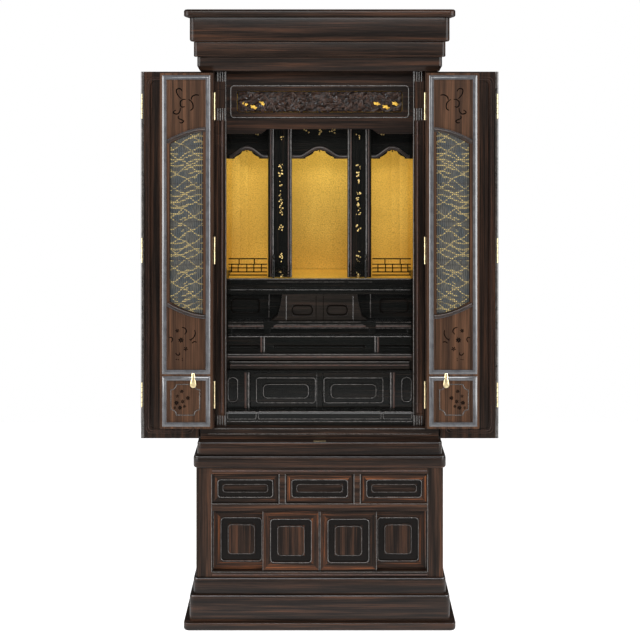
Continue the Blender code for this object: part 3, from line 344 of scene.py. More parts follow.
def mitred_front(name, frame_width, well, upright):
    """The finish of one framed front, its mitres and sunk well set out from the node's own box."""
    low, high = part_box(name)
    middle, half = (low + high) / 2, (high - low) / 2
    mitre = (middle.x, half.x, middle.z, half.z, frame_width)
    FINISHES[name] = striped_wood(name + "_wood", darker(EBONY_STOPS, 0.70), upright, mitre=mitre,
                                  frame=STREAKED_STOPS, well=well)


for name in nodes:
    if name.startswith("base_drawer_"):
        mitred_front(name, DRAWER_FRAME, DRAWER_WELL, False)
    elif name.startswith("sliding_door_"):
        mitred_front(name, SLIDER_FRAME, SLIDER_WELL, True)
FINISHES["base_frame"] = striped_wood("base_frame", EBONY_STOPS, False, mitre=STILES_ONLY)
FINISHES["case_front"] = striped_wood("case_front", EBONY_STOPS, True, mitre=FLOOR_STRIP_ONLY)
print("woods:", ", ".join(FINISHES))

# %% [markdown]
# The niche is lined with creped gold paper. Foil on crumpled paper glints in small
# facets, so a cell texture bends the normal of a part-metallic gold. Brass fittings are
# the same idea with finer wear. The bright lines on the rounded edges of the lacquer are
# painted highlights: a paler, smoother finish. Cut lines are filled dark.

# %% Gold, brass and dark inlay
def gold_paper():
    paint = new_paint("gold_paper")
    place = paint.place()
    cells = paint.add("ShaderNodeTexVoronoi", {"feature": "SMOOTH_F1"}, {"Vector": place, "Scale": 430.0})
    creases = paint.noise(place, 560.0, 3.0, 0.6)
    cloud = paint.noise(place, 9.0, 2.0)
    pale = paint.blend(paint.step(cloud, 0.3, 0.7), (0.80, 0.48, 0.066), (0.94, 0.60, 0.095))
    colour = paint.blend(paint.step(cells + creases * 0.5, 0.35, 1.10), pale, (0.60, 0.34, 0.038))
    return finish(paint, colour, 0.46, 0.30, bump=(cells + creases * 0.6, 0.00045))


def metal(title, colour, roughness):
    paint = new_paint(title)
    wear = paint.noise(paint.place(), 160.0, 3.0, 0.6)
    dull = tuple(channel * 0.62 for channel in colour)
    return finish(paint, paint.blend(paint.step(wear, 0.35, 0.75), colour, dull),
                  wear * 0.22 + roughness, 1.0, bump=(wear, 0.00006))


def speckled(title, dark, pale, roughness, scale, bump, constants):
    """A plain finish whose tone wanders between two colours."""
    paint = new_paint(title)
    grit = paint.noise(paint.place(), scale, 3.0, 0.6)
    return finish(paint, paint.blend(paint.step(grit, 0.3, 0.7), dark, pale), roughness, bump=(grit, bump),
                  **constants)


GLOSSY = {"Coat Weight": 1.0, "Coat Roughness": 0.06}
FINISHES.update({
    "gold_paper": gold_paper(),
    "brass": metal("brass", (0.92, 0.76, 0.44), 0.20),
    "gold_leaf": metal("gold_leaf", (0.95, 0.70, 0.28), 0.26),
})
# Dark tone, pale tone, roughness, grit per metre, bump distance and shader constants.
SPECKLED = {
    "dark_line": ((0.002, 0.0015, 0.001), (0.006, 0.004, 0.003), 0.7, 900.0, 0.0001,
                  {"Specular IOR Level": 0.02}),
    # The next two are painted highlights: pale glossy lacquer for the gleam on edges and ridges.
    "rubbed_edge": ((0.022, 0.020, 0.018), (0.085, 0.076, 0.070), 0.24, 120.0, 0.00003, GLOSSY),
    "bright_edge": ((0.060, 0.060, 0.064), (0.095, 0.095, 0.100), 0.22, 60.0, 0.00002, GLOSSY),
    "red_edge": ((0.022, 0.009, 0.006), (0.060, 0.022, 0.012), 0.34, 150.0, 0.00003,
                 {"Coat Weight": 0.4, "Coat Roughness": 0.10}),
    "carved_wood": ((0.003, 0.0022, 0.0018), (0.046, 0.022, 0.014), 0.36, 130.0, 0.0003,
                    {"Coat Weight": 0.06, "Coat Roughness": 0.14, "Specular IOR Level": 0.22}),
    "arch_brown": ((0.009, 0.0055, 0.0040), (0.032, 0.017, 0.011), 0.30, 90.0, 0.00005,
                   {"Coat Weight": 0.3, "Coat Roughness": 0.10}),
}
for title, plan in SPECKLED.items():
    FINISHES[title] = speckled(title, *plan)
print("metals and inlay:", len(FINISHES), "finishes")

# %% [markdown]
# The door windows hold woven panels: upright reeds bound with thread, on which gold
# thread draws a lattice of dots over waves. The reeds are real geometry, made further
# down. Here is only their colour, which follows Object coordinates so that the pattern
# runs on from one reed to the next. The pattern is mirrored about the cabinet's middle.

# %% Brocade
def brocade():
    paint = new_paint("brocade")
    x, _, z = paint.split(paint.place())
    x = abs(x)
    ground_noise = paint.noise(paint.vector(x * 420.0, 0.0, z * 60.0), detail=3.0)
    patch = paint.noise(paint.vector(x * 36.0, 0.0, z * 26.0), detail=2.0)
    grey = paint.ramp(ground_noise, ((0.30, (0.016, 0.016, 0.014)), (0.55, (0.040, 0.039, 0.031)),
                                     (0.75, (0.10, 0.096, 0.074))))
    blue = paint.ramp(ground_noise, ((0.30, (0.011, 0.014, 0.015)), (0.70, (0.028, 0.037, 0.040))))
    colour = paint.blend(paint.step(patch, 0.46, 0.58), grey, blue)
    dots = paint.lines(z, 0.0044, 0.0025) * paint.lines(x, 0.00442, 0.0026)
    sway = paint.math("SINE", x * 140.0) * 0.0022
    rising = paint.lines(z + x * 0.62 + sway, 0.0300, 0.0032)
    falling = paint.lines(z - x * 0.62 + sway, 0.0360, 0.0032)
    arcs = paint.lines(z + paint.math("SINE", x * 60.0 + 0.9) * 0.008, 0.0135, 0.0036)
    arcs = arcs * (paint.noise(paint.vector(x * 20.0, 4.0, z * 16.0)) > 0.50)
    gold = paint.math("MINIMUM", (rising + falling + arcs) * (dots * 0.92 + 0.08), 1.0)
    colour = paint.blend(gold, colour, (0.50, 0.37, 0.12))
    knot = paint.lines(z + 0.0265, 0.0860, 0.0026) + paint.lines(z + 0.0385, 0.0860, 0.0026)
    colour = paint.blend(knot * 0.8, colour, (0.014, 0.011, 0.010))
    thread = paint.noise(paint.vector(x * 900.0, 0.0, z * 1500.0), detail=1.0)
    return finish(paint, colour, 0.60, bump=(thread + gold, 0.0002), **{"Sheen Weight": 0.10})


FINISHES["brocade"] = brocade()
print("brocade ready")

# %% [markdown]
# Large soft boxes on both sides give the thin bright lines down every rounded edge, and
# a broad one in front and above gives the faces their soft sheen. The room itself is
# nearly dark, because black lacquer mirrors whatever surrounds it, while the camera sees
# a clean white behind the cabinet. The floor glows white near the cabinet and darkens in
# front, so that its mirror image doesn't wash out the lacquer. A warm lamp under the
# transom lights the gold, as in a real altar.

# %% Light
SOFT_BOXES = (
    ("left_box", (-2.5, -1.6, 1.0), (90, 0, -58), (2.2, 2.8), 108.0),
    ("right_box", (2.5, -1.6, 1.0), (90, 0, 58), (2.2, 2.8), 108.0),
    ("front_box", (0.0, -3.9, 2.40), (69, 0, 0), (2.6, 0.8), 66.0),
)
NICHE_LIGHT = ("niche_light", (0.0, -0.030, 1.150), (-12, 0, 0), (0.36, 0.03), 0.75)
FLOOR = (-2.6, 2.6, -2.4, 1.6)
FLOOR_FADE = (-0.75, -0.28)
FLOOR_DARK = (0.03, 0.03, 0.03)
FLOOR_GLOW = (0.86, 0.86, 0.86)
ROOM_GLOW = 0.08


def soft_box(title, place, turn, size, watts):
    """A rectangular light. At no turn it shines straight down, and its turn is in degrees."""
    lamp = bpy.data.lights.new(title, "AREA")
    lamp.shape = "RECTANGLE"
    lamp.size, lamp.size_y = size
    lamp.energy = watts
    holder = bpy.data.objects.new(title, lamp)
    holder.location = place
    holder.rotation_euler = [math.radians(angle) for angle in turn]
    bpy.context.scene.collection.objects.link(holder)
    return holder


def make_world():
    world = bpy.data.worlds.new("studio")
    world.use_nodes = True
    paint = Paint(world.node_tree)
    sky = world.node_tree.nodes["Background"]
    seen = paint.add("ShaderNodeLightPath", output="Is Camera Ray")
    paint.feed(sky.inputs["Color"], (1.0, 1.0, 1.0, 1.0))
    paint.feed(sky.inputs["Strength"], seen * (1.0 - ROOM_GLOW) + ROOM_GLOW)
    bpy.context.scene.world = world


def make_floor():
    paint = new_paint("floor")
    _, y, _ = paint.split(paint.place())
    glow = paint.blend(paint.step(y, *FLOOR_FADE), FLOOR_DARK, FLOOR_GLOW)
    paint.feed(paint.tree.nodes["Principled BSDF"].inputs["Emission Color"], glow)
    finish(paint, (0.80, 0.80, 0.80), 0.9, **{"Emission Strength": 1.0, "Specular IOR Level": 0.1})
    left, right, front, back = FLOOR
    mesh = bpy.data.meshes.new("floor")
    corners = [(left, front, 0), (right, front, 0), (right, back, 0), (left, back, 0)]
    mesh.from_pydata(corners, [], [(0, 1, 2, 3)])
    mesh.materials.append(paint.material)
    floor = bpy.data.objects.new("floor", mesh)
    bpy.context.scene.collection.objects.link(floor)


for box_plan in SOFT_BOXES:
    soft_box(*box_plan)
soft_box(*NICHE_LIGHT).visible_glossy = False
make_world()
make_floor()
bpy.context.scene.view_settings.view_transform = "Standard"
print(len(SOFT_BOXES) + 1, "lights")

# %% [markdown]
# Every wooden solid keeps its place and shape and gets two touches of the plane: its
# triangles are joined into whole faces, and then its sharp edges are eased by less than
# a millimetre. Without that, an edge has no width to catch the light. Modifiers do it,
# so the solid's own mesh stays as it was packed. A table says which wood each one is.

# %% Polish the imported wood
EDGE_EASE = 0.0008
LOOKS = (
    ("brocade", ("brocade_panel",)),
    ("brass", ("door_pull", "hinge_barrel")),
    ("gold_paper", ("gold_backdrop", "transom_gold_sheet")),
    ("carved_wood", ("transom_carving",)),
    ("lacquer_upright", ("altar_column",)),
    ("umber_level", ("altar_dais", "tray_shelf", "serving_tray")),
    ("lacquer_level", ("altar_", "arch_", "step_shelf", "drawer_housing", "inner_sill", "inner_drawer")),
    ("base_frame", ("base_front_frame",)),
    ("case_front", ("cabinet_carcass",)),
    ("panel_upright", ("inner_door",)),
    ("board_level", ("base_top_board", "upper_sill", "foot_board", "lower_plinth", "upper_plinth")),
    ("board_level", ("cornice_", "transom_frame")),
    ("leaf_upright", ("outer_door",)),
)
UNPOLISHED = ("brass", "brocade", "carved_wood", "gold_paper")


def look_of(name):
    """A mitred front's own finish, the first look that the table gives, or upright ebony."""
    if name in FINISHES:
        return name
    return next((look for look, starts in LOOKS if name.startswith(starts)), "ebony_upright")


def polish(obj):
    """Join the triangles of flat faces, then ease the edges that are sharper than 30 degrees."""
    weld = obj.modifiers.new("join", "WELD")
    weld.merge_threshold = 0.00001
    flat = obj.modifiers.new("flat_faces", "DECIMATE")
    flat.decimate_type = "DISSOLVE"
    flat.angle_limit = math.radians(1)
    bevel = obj.modifiers.new("eased_edges", "BEVEL")
    bevel.width = EDGE_EASE
    bevel.segments = 2
    bevel.limit_method = "ANGLE"
    bevel.angle_limit = math.radians(30)
    bevel.harden_normals = True


for name, obj in nodes.items():
    look = look_of(name)
    obj.data.materials.clear()
    obj.data.materials.append(FINISHES[look])
    if look not in UNPOLISHED:
        polish(obj)
print("polished", len(nodes), "nodes")

# %% [markdown]
# The fine work is surfaces worked out with numpy. A sheet turns a grid of points into
# quads, a bead carries a closed profile along a flat path and mitres it at the corners,
# and a stamp repeats one small shape at many places. Each function returns shells, which
# are pairs of points and faces, and piece joins shells into one object on its body.

# %% Surface helpers
def sheet(points, ring_rows=False, ring_columns=False, capped=False):
    """Quads over a grid of points (rows, columns, 3). A capped tube gets a lid at each end row."""
    rows, columns = points.shape[:2]
    index = np.arange(rows * columns).reshape(rows, columns)
    ends = [index[0][::-1].tolist(), index[-1].tolist()] if capped else []
    if ring_rows:
        index = np.vstack([index, index[:1]])
    if ring_columns:
        index = np.hstack([index, index[:, :1]])
    quads = np.stack([index[:-1, :-1], index[:-1, 1:], index[1:, 1:], index[1:, :-1]], axis=-1)
    return points.reshape(-1, 3), quads.reshape(-1, 4).tolist() + ends


def piece(title, shells, body, look, replaces=()):
    """One object from shells: doubles merged, faces turned outwards, ridden on its body."""
    points, faces, start = [], [], 0
    for shell_points, shell_faces in shells:
        points.append(shell_points)
        faces += [[corner + start for corner in face] for face in shell_faces]
        start += len(shell_points)
    mesh = bpy.data.meshes.new(title)
    mesh.from_pydata(np.vstack(points).tolist(), [], faces)
    work = bmesh.new()
    work.from_mesh(mesh)
    bmesh.ops.remove_doubles(work, verts=work.verts, dist=0.000002)
    bmesh.ops.recalc_face_normals(work, faces=work.faces)
    work.to_mesh(mesh)
    work.free()
    mesh.shade_smooth()
    mesh.set_sharp_from_angle(angle=math.radians(40))
    mesh.materials.append(FINISHES[look])
    obj = bpy.data.objects.new(title, mesh)
    bpy.context.scene.collection.objects.link(obj)
    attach(obj, body)
    for node in replaces:
        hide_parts(node)
    return obj


SINK = 0.0003


def half_round(width, height, steps=5):
    """Profile of a bead: across = half width * cos, out = height * sin, closed below its seat."""
    turn = np.linspace(0.0, math.pi, steps + 1)
    arc = np.column_stack([width / 2 * np.cos(turn), height * np.sin(turn)])
    return np.vstack([arc, [[-width / 2, -SINK], [width / 2, -SINK]]])


def bead(path, profile, y, facing=-1, ring=True, width=None):
    """Carry a profile (across, out) along a path of (x, z).

    Point = path + mitre * across, depth = y + facing * out, and width scales across.
    """
    path = np.asarray(path, dtype=float)
    after = np.roll(path, -1, axis=0) - path
    before = path - np.roll(path, 1, axis=0)
    if not ring:
        after[-1], before[0] = before[-1], after[0]
    after, before = (way / np.linalg.norm(way, axis=1, keepdims=True) for way in (after, before))
    outward = [np.column_stack([way[:, 1], -way[:, 0]]) for way in (before, after)]
    mitre = (outward[0] + outward[1]) / (1 + (outward[0] * outward[1]).sum(axis=1, keepdims=True))
    across = profile[None, :, 0] * (1.0 if width is None else np.asarray(width)[:, None])
    flat = path[:, None, :] + mitre[:, None, :] * across[:, :, None]
    depth = np.broadcast_to(y + facing * profile[None, :, 1], flat.shape[:2])
    points = np.stack([flat[:, :, 0], depth, flat[:, :, 1]], axis=-1)
    return sheet(points, ring_rows=ring, ring_columns=True, capped=not ring)


def rectangle(x, z):
    return np.array([[x[0], z[0]], [x[1], z[0]], [x[1], z[1]], [x[0], z[1]]])


def rounded(x, z, radius, steps=5):
    """A rectangle whose corners are quarter circles."""
    turn = np.linspace(0.0, math.pi / 2, steps + 1)
    corners = []
    for quarter, (cx, cz) in enumerate([(x[1] - radius, z[0] + radius), (x[1] - radius, z[1] - radius),
                                        (x[0] + radius, z[1] - radius), (x[0] + radius, z[0] + radius)]):
        angle = turn + (quarter - 1) * math.pi / 2
        corners.append(np.column_stack([cx + radius * np.cos(angle), cz + radius * np.sin(angle)]))
    return np.vstack(corners)


def span(side, near, far):
    """A left-to-right span at one side of the middle."""
    return (near, far) if side > 0 else (-far, -near)


def level(x, z, y, width, height):
    """A straight level bead."""
    return bead([(x[0], z), (x[1], z)], half_round(width, height), y, ring=False)


def upright(x, z, y, width, height):
    """A straight upright bead."""
    return bead([(x, z[0]), (x, z[1])], half_round(width, height), y, ring=False)


def outline(x, z, corner, y, width, height):
    """A closed bead round a rectangle with rounded corners."""
    return bead(rounded(x, z, corner), half_round(width, height), y)


def thin_plate(x, y, z):
    """A flat sheet between two heights, closed round its rim."""
    plan = [(x[0], y[0]), (x[1], y[0]), (x[1], y[1]), (x[0], y[1])]
    points = np.array([[[*corner, height] for corner in plan] for height in z])
    return sheet(points, ring_columns=True, capped=True)


def lathe(radii, heights, x, y, steps=16):
    """Turned shape about an upright axis: point = axis + radius * (cos, sin) at each height."""
    turn = np.linspace(0.0, 2 * math.pi, steps, endpoint=False)
    radii, heights = np.asarray(radii)[:, None], np.asarray(heights)[:, None]
    points = np.stack([x + radii * np.cos(turn), y + radii * np.sin(turn),
                       np.broadcast_to(heights, (len(heights), steps))], axis=-1)
    return sheet(points, ring_columns=True, capped=True)


def dome(rim, height, rings):
    """A small cushion over a rim: point = rim * cos(u), height * sin(u), on a flat seat."""
    rise = np.linspace(0.0, math.pi / 2, rings + 1)
    shrink = np.append(np.cos(rise[:-1]), 0.0)
    flat = rim[None, :, :] * shrink[:, None, None]
    out = np.broadcast_to((height * np.sin(rise))[:, None], flat.shape[:2])
    points = np.concatenate([flat, out[:, :, None]], axis=-1)
    seat = np.concatenate([rim, np.full((len(rim), 1), -SINK)], axis=-1)
    points = np.vstack([seat[None], points])
    return sheet(points, ring_columns=True, capped=True)


def stamp(shape, places, y, facing=-1):
    """Repeat a shape (across, along, out) at places of (x, z, angle, size across, size along, size out)."""
    points, faces = shape
    places = np.asarray(places, dtype=float)
    turn = places[:, 2:3]
    across, along = points[None, :, 0] * places[:, 3:4], points[None, :, 1] * places[:, 4:5]
    x = places[:, 0:1] + across * np.cos(turn) - along * np.sin(turn)
    z = places[:, 1:2] + across * np.sin(turn) + along * np.cos(turn)
    depth = y + facing * points[None, :, 2] * places[:, 5:6]
    return [(np.column_stack([x[i], depth[i], z[i]]), faces) for i in range(len(places))]


def leaf_outline(steps):
    """A pointed oval one unit long: half width = 0.5 * sin of the way along, to the power 0.8."""
    way = np.linspace(0.0, math.pi, steps + 1)
    right = np.column_stack([0.5 * np.sin(way) ** 0.8, -0.5 * np.cos(way)])
    return np.vstack([right, right[-2:0:-1] * [-1, 1]])


def blossom_outline(petals=5, steps=20):
    """A flower: radius = 0.5 * (0.62 + 0.38 * |cos(petals * angle / 2)|)."""
    angle = np.linspace(0.0, 2 * math.pi, steps, endpoint=False)
    radius = 0.5 * (0.62 + 0.38 * np.abs(np.cos(petals * angle / 2)))
    return np.column_stack([radius * np.cos(angle), radius * np.sin(angle)])


def disc_outline(steps=8):
    angle = np.linspace(0.0, 2 * math.pi, steps, endpoint=False)
    return np.column_stack([0.5 * np.cos(angle), 0.5 * np.sin(angle)])


SMALL_LEAF = dome(leaf_outline(4), 1.0, 1)
BLOSSOM = dome(blossom_outline(), 1.0, 2)
DOT = dome(disc_outline(), 1.0, 1)
print("surface helpers ready")

# %% [markdown]
# Plinths, tops and cornice are boards and boxes whose corners and edges are run to a
# round with a moulding plane. The imported solids keep those rounds coarse. Here each is
# swept again: the same plan outline, drawn in a little at each height of the profile.
# Below the cornice, a fine pale wire half way round each upper edge is a painted highlight: the gleam on it.

# %% Moulded boards
BOARDS = {
    "foot_board": (0.0060, 0.0015, 0.012),
    "lower_plinth": (0.0012, 0.0050, 0.012),
    "upper_plinth": (0.0012, 0.0040, 0.012),
    "base_top_board": (0.0050, 0.0060, 0.014),
    "upper_sill": (0.0015, 0.0040, 0.010),
    "cornice_band": (0.0030, 0.0015, 0.010),
    "cornice_fascia": (0.0050, 0.0015, 0.012),
    "cornice_top_board": (0.0040, 0.0050, 0.014),
}


def moulded_board(name, low_round, high_round, corner):
    """Plan = rounded rectangle, inset by r * (1 - sin) over a quarter round at the foot and at the top."""
    low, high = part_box(name)
    turn = np.linspace(0.0, math.pi / 2, 6)
    inset = np.concatenate([low_round * (1 - np.sin(turn)), high_round * (1 - np.cos(turn))])
    height = np.concatenate([low.z + low_round * (1 - np.cos(turn)),
                             high.z - high_round * (1 - np.sin(turn))])
    rings = []
    for gap, z in zip(inset, height):
        plan = rounded((low.x + gap, high.x - gap), (low.y + gap, high.y - gap), corner - gap, 6)
        rings.append(np.column_stack([plan, np.full(len(plan), z)]))
    shell = sheet(np.array(rings), ring_columns=True, capped=True)
    piece(name + "_moulded", [shell], "cabinet", "board_level", [name])


def edge_wire(name, z, inset, corner, radius=0.0010, steps=6):
    """A fine pale line round a board, a painted highlight: point = plan + radius * (outward * cos, up * sin).
    """
    low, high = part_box(name)
    plan = rounded((low.x + inset, high.x - inset), (low.y + inset, high.y - inset), corner - inset, 6)
    way = np.roll(plan, -1, axis=0) - np.roll(plan, 1, axis=0)
    way /= np.linalg.norm(way, axis=1, keepdims=True)
    turn = np.linspace(0.0, 2 * math.pi, steps, endpoint=False)
    x = plan[:, :1] + way[:, 1:] * radius * np.cos(turn)
    y = plan[:, 1:] - way[:, :1] * radius * np.cos(turn)
    points = np.stack([x, y, np.broadcast_to(z + radius * np.sin(turn), x.shape)], axis=-1)
    return sheet(points, ring_rows=True, ring_columns=True)


HALF_WAY_ROUND = 1 - math.sqrt(0.5)
WIRE_OUT = 0.0004
WIRE_CLEAR = 0.0011
wires = []
for name, (low_round, high_round, corner) in BOARDS.items():
    moulded_board(name, low_round, high_round, corner)
    if not name.startswith("cornice_"):
        inset = high_round * HALF_WAY_ROUND
        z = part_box(name)[1].z - max(inset, WIRE_CLEAR)
        wires.append(edge_wire(name, z, max(inset + WIRE_OUT, WIRE_CLEAR), corner))
piece("board_edges", wires, "cabinet", "bright_edge")
print(len(BOARDS), "moulded boards")

# %% [markdown]
# Each inner leaf is two framed fields. A ridged moulding runs round each field, mitred
# at its corners, and an arched dark moulding borders the woven window above and
# below. The moulding is one profile carried round a rectangle, as it would be run on a
# plane and cut at 45 degrees. The leaf shows the same face when it is closed, so the
# hinged leaf gets the same work on its far side.

# %% Inner door mouldings
LEAF_FACE = {"top": 1.2566, "bottom": 0.4518, "near": 0.2425, "far": 0.36125}
RIDGE_INSET = 0.0102
RIDGE = np.array([[0.0051, -SINK], [0.0050, 0.0003], [0.0008, 0.0027], [0.0000, 0.0030], [-0.0008, 0.0029],
                  [-0.0047, 0.0019], [-0.0051, -SINK]])
FIELD_SPLIT = (0.5760, 0.5706)
FIELD_GAP = 0.0045
ARCH_X = (0.34475, 0.2590)
ARCH_SPRING = {"top": 1.0956, "bottom": 0.7388}
ARCH_RISE = 0.0280
ARCH_POWER = 1.7
POCKET = 0.0025
LEAVES = []
for side, hand in SIDES:
    for place, facing in (("folded", -1), ("hinged", 1)):
        low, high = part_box(f"inner_door_{hand}_{place}")
        LEAVES.append((side, hand, place, facing, low.y if facing < 0 else high.y))


def arch_rise(share):
    """Rise over the spring = full rise * (1 - (1 - share) to the power 1.7)."""
    return ARCH_RISE * (1 - (1 - share) ** ARCH_POWER)


def arch_line(side, edge, rise_way, lift, steps=16):
    """Window edge: z = spring + rise, level at the cabinet side."""
    share = np.linspace(0.0, 1.0, steps + 1)
    x = side * (ARCH_X[0] + (ARCH_X[1] - ARCH_X[0]) * share)
    return np.column_stack([x, ARCH_SPRING[edge] + rise_way * (lift + arch_rise(share))])


def ridge_rings(side, y, facing):
    x = span(side, LEAF_FACE["near"] + RIDGE_INSET, LEAF_FACE["far"] - RIDGE_INSET)
    upper = (FIELD_SPLIT[0] + FIELD_GAP, LEAF_FACE["top"] - RIDGE_INSET)
    lower = (LEAF_FACE["bottom"] + RIDGE_INSET, FIELD_SPLIT[1] - FIELD_GAP)
    return [bead(rectangle(x, z), RIDGE, y, facing) for z in (upper, lower)]


for side, hand, place, facing, face_y in LEAVES:
    body = f"{hand}_inner_{place}"
    # The ridges and the fine arch lines are pale glossy lacquer: painted highlights.
    piece(f"ridge_{hand}_{place}", ridge_rings(side, face_y, facing), body, "bright_edge")
    for title, lift, profile, look in (("arches", 0.0048, half_round(0.0092, 0.0026), "arch_brown"),
                                       ("arch_lines", 0.0090, half_round(0.0018, 0.0030), "bright_edge")):
        shells = [bead(arch_line(side, edge, way, lift), profile, face_y, facing, False)
                  for edge, way in (("top", 1), ("bottom", -1))]
        piece(f"{title}_{hand}_{place}", shells, body, look)
print("mouldings on", len(LEAVES), "leaves")

# %% [markdown]
# The panels above and below the window are engraved with scrolls and flowers, and the
# foot panel carries a thin frame with hollowed corners. The cut lines are filled dark.
# A texture would blur, so each line is a thin raised ribbon that tapers at its ends.

# %% Engraved scrolls and flowers
SCROLLS = (
    ((-31, 17), (-24, 19), (-15, 15), (-13, 7)),
    ((-7, 8), (-15, 3), (-18, -6), (-17, -14), (-11, -17)),
    ((-1, 8), (6, 8), (12, 3), (11, -8), (6, -10), (1, -8)),
    ((9, 9), (18, 18), (21, 29), (16, 33), (10, 32), (7, 26)),
    ((11, -11), (12, -20), (18, -26), (26, -24), (28, -20), (21, -16)),
    ((15, -29), (17, -35), (6, -39), (3, -42), (9, -46), (13, -44)),
)
SCROLL_CENTRE = (0.3040, 1.1887)
SPRAY_CENTRE = (0.3020, 0.6351)
SPRAY_STEMS = (
    ((39, 22), (33, 24), (30, 18), (34, 12)),
    ((-19, 40), (-21, 32), (-17, 22), (-9, 17)),
    ((4, 30), (-2, 36), (2, 44), (10, 46)),
    ((24, -12), (20, -18), (14, -16), (15, -11)),
    ((-24, 12), (-18, 14), (-13, 10)),
)
SPRAY_FLOWERS = ((12, 17, 5.5, 7), (1, -3, 4.5, 5), (20, 38, 4.2, 6), (-10, 18, 3.0, 3), (20, -27, 3.4, 2),
                 (9, -27, 3.2, 2))
FOOT_CENTRE = (0.3040, 0.5171)
FOOT_FLOWERS = ((8, 19, 4.0, 6), (-6, 4, 4.4, 7), (6, -4, 4.0, 6), (18, 8, 3.4, 5), (20, -7, 4.6, 7),
                (12, -18, 4.4, 7), (2, -15, 3.4, 6), (24, -18, 3.0, 5))
FOOT_FRAME = ((0.2714, 0.3365), (0.4823, 0.5519), 0.0125)


def smoothed(points, rounds=3):
    """Corner cutting: each span is replaced by its points at a quarter and three quarters."""
    points = np.asarray(points, dtype=float)
    for _ in range(rounds):
        first, second = points[:-1], points[1:]
        cut = np.stack([first * 0.75 + second * 0.25, first * 0.25 + second * 0.75], axis=1).reshape(-1, 2)
        points = np.vstack([points[:1], cut, points[-1:]])
    return points


MM = 0.001
SCROLL_WIDTH, STEM_WIDTH = 0.0030, 0.0026
CUT_HEIGHT = 0.0004
PETAL_HEIGHT = 0.0005


def engraved(curve, side, centre, y, facing, width):
    """A ribbon along a curve in millimetres, as wide as sin of the way along, to the power 0.5."""
    path = smoothed(curve) * MM
    path = np.column_stack([side * (centre[0] + path[:, 0]), centre[1] + path[:, 1]])
    taper = np.sin(np.linspace(0.06, 0.94, len(path)) * math.pi) ** 0.5
    return bead(path, half_round(width, CUT_HEIGHT, 3), y, facing, ring=False, width=taper)


def flower(x, z, petal, count, side, centre):
    """Places of petals around a middle given in millimetres: one leaf each, its foot at the middle."""
    angle = np.linspace(0.0, 2 * math.pi, count, endpoint=False) + x * 0.7
    middle_x, middle_z = side * (centre[0] + x * MM), centre[1] + z * MM
    reach = petal * 0.66 * MM
    size = np.full(count, petal * 1.1 * MM)
    return np.column_stack([middle_x - reach * np.sin(angle), middle_z + reach * np.cos(angle), angle,
                            size * 0.50, size, np.full(count, PETAL_HEIGHT)])


def hollowed(x, z, radius, steps=5):
    """A rectangle whose corners are scooped out by quarter circles about the corner points."""
    turn = np.linspace(0.0, math.pi / 2, steps + 1)
    corners = []
    for quarter, (cx, cz) in enumerate([(x[1], z[0]), (x[1], z[1]), (x[0], z[1]), (x[0], z[0])]):
        angle = math.pi + quarter * math.pi / 2 - turn
        corners.append(np.column_stack([cx + radius * np.cos(angle), cz + radius * np.sin(angle)]))
    return np.vstack(corners)


for side, hand, place, facing, face_y in LEAVES:
    body = f"{hand}_inner_{place}"
    floor_y = face_y - facing * POCKET
    cuts = [engraved(curve, side, SCROLL_CENTRE, floor_y, facing, SCROLL_WIDTH) for curve in SCROLLS]
    cuts += [engraved(curve, side, SPRAY_CENTRE, floor_y, facing, STEM_WIDTH) for curve in SPRAY_STEMS]
    petals = [flower(*plan, side, SPRAY_CENTRE) for plan in SPRAY_FLOWERS]
    petals += [flower(*plan, side, FOOT_CENTRE) for plan in FOOT_FLOWERS]
    cuts += stamp(SMALL_LEAF, np.vstack(petals), floor_y, facing)
    piece(f"engraving_{hand}_{place}", cuts, body, "dark_line")
    # The foot frame is a pale bead: a painted highlight along its edge.
    frame_x = span(side, *FOOT_FRAME[0])
    ring = bead(hollowed(frame_x, FOOT_FRAME[1], FOOT_FRAME[2]), half_round(0.0021, 0.0010), floor_y, facing)
    piece(f"foot_frame_{hand}_{place}", [ring], body, "rubbed_edge")
print("engraved", len(SCROLLS) + len(SPRAY_STEMS), "lines a leaf")

# %% [markdown]
# The windows hold blinds of split reed. A flat woven picture would miss the shadow
# between the reeds, so the panel is one sheet that swells once for each reed, cut to the
# arches at both ends. Its two faces are made as one tube, so the sheet is closed.

# %% Woven panels
WINDOW_X = (0.33935, 0.2644)
REEDS = 17
REED_STEPS = 6
REED_DEPTH = 0.0013
PANEL_HALF = 0.0016
REED_CLEAR = 0.0006


def reed_panel(side, y):
    """Depth = half thickness + reed depth * |sin(pi * reeds * share)|, both faces, from arch to arch."""
    share = np.linspace(0.0, 1.0, REEDS * REED_STEPS + 1)
    x = side * (WINDOW_X[0] + (WINDOW_X[1] - WINDOW_X[0]) * share)
    rise = arch_rise(share)
    swell = PANEL_HALF + REED_DEPTH * np.abs(np.sin(math.pi * REEDS * share))
    tube_x, tube_rise = np.append(x, x[::-1]), np.append(rise, rise[::-1])
    tube_y = np.append(y - swell, (y + swell)[::-1])
    ends = [ARCH_SPRING["bottom"] - tube_rise + REED_CLEAR, ARCH_SPRING["top"] + tube_rise - REED_CLEAR]
    rows = [np.column_stack([tube_x, tube_y, end]) for end in ends]
    return sheet(np.array(rows), ring_columns=True, capped=True)


for side, hand, place, facing, face_y in LEAVES:
    node = f"brocade_panel_{hand}_{place}"
    low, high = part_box(node)
    piece(f"reeds_{hand}_{place}", [reed_panel(side, (low.y + high.y) / 2)], body_of[node], "brocade", [node])
print(REEDS, "reeds a window")

# %% [markdown]
# Brass butt hinges carry the inner leaves, and their barrels show as bright rods between
# door and case. A turned profile with a groove at each knuckle replaces the plain rods.
# The fold of the outer leaves shows the same barrels at their outer edges.

# %% Hinges
HINGE_HEIGHTS = (0.5198, 0.8500, 1.1801)
KNUCKLES = 5


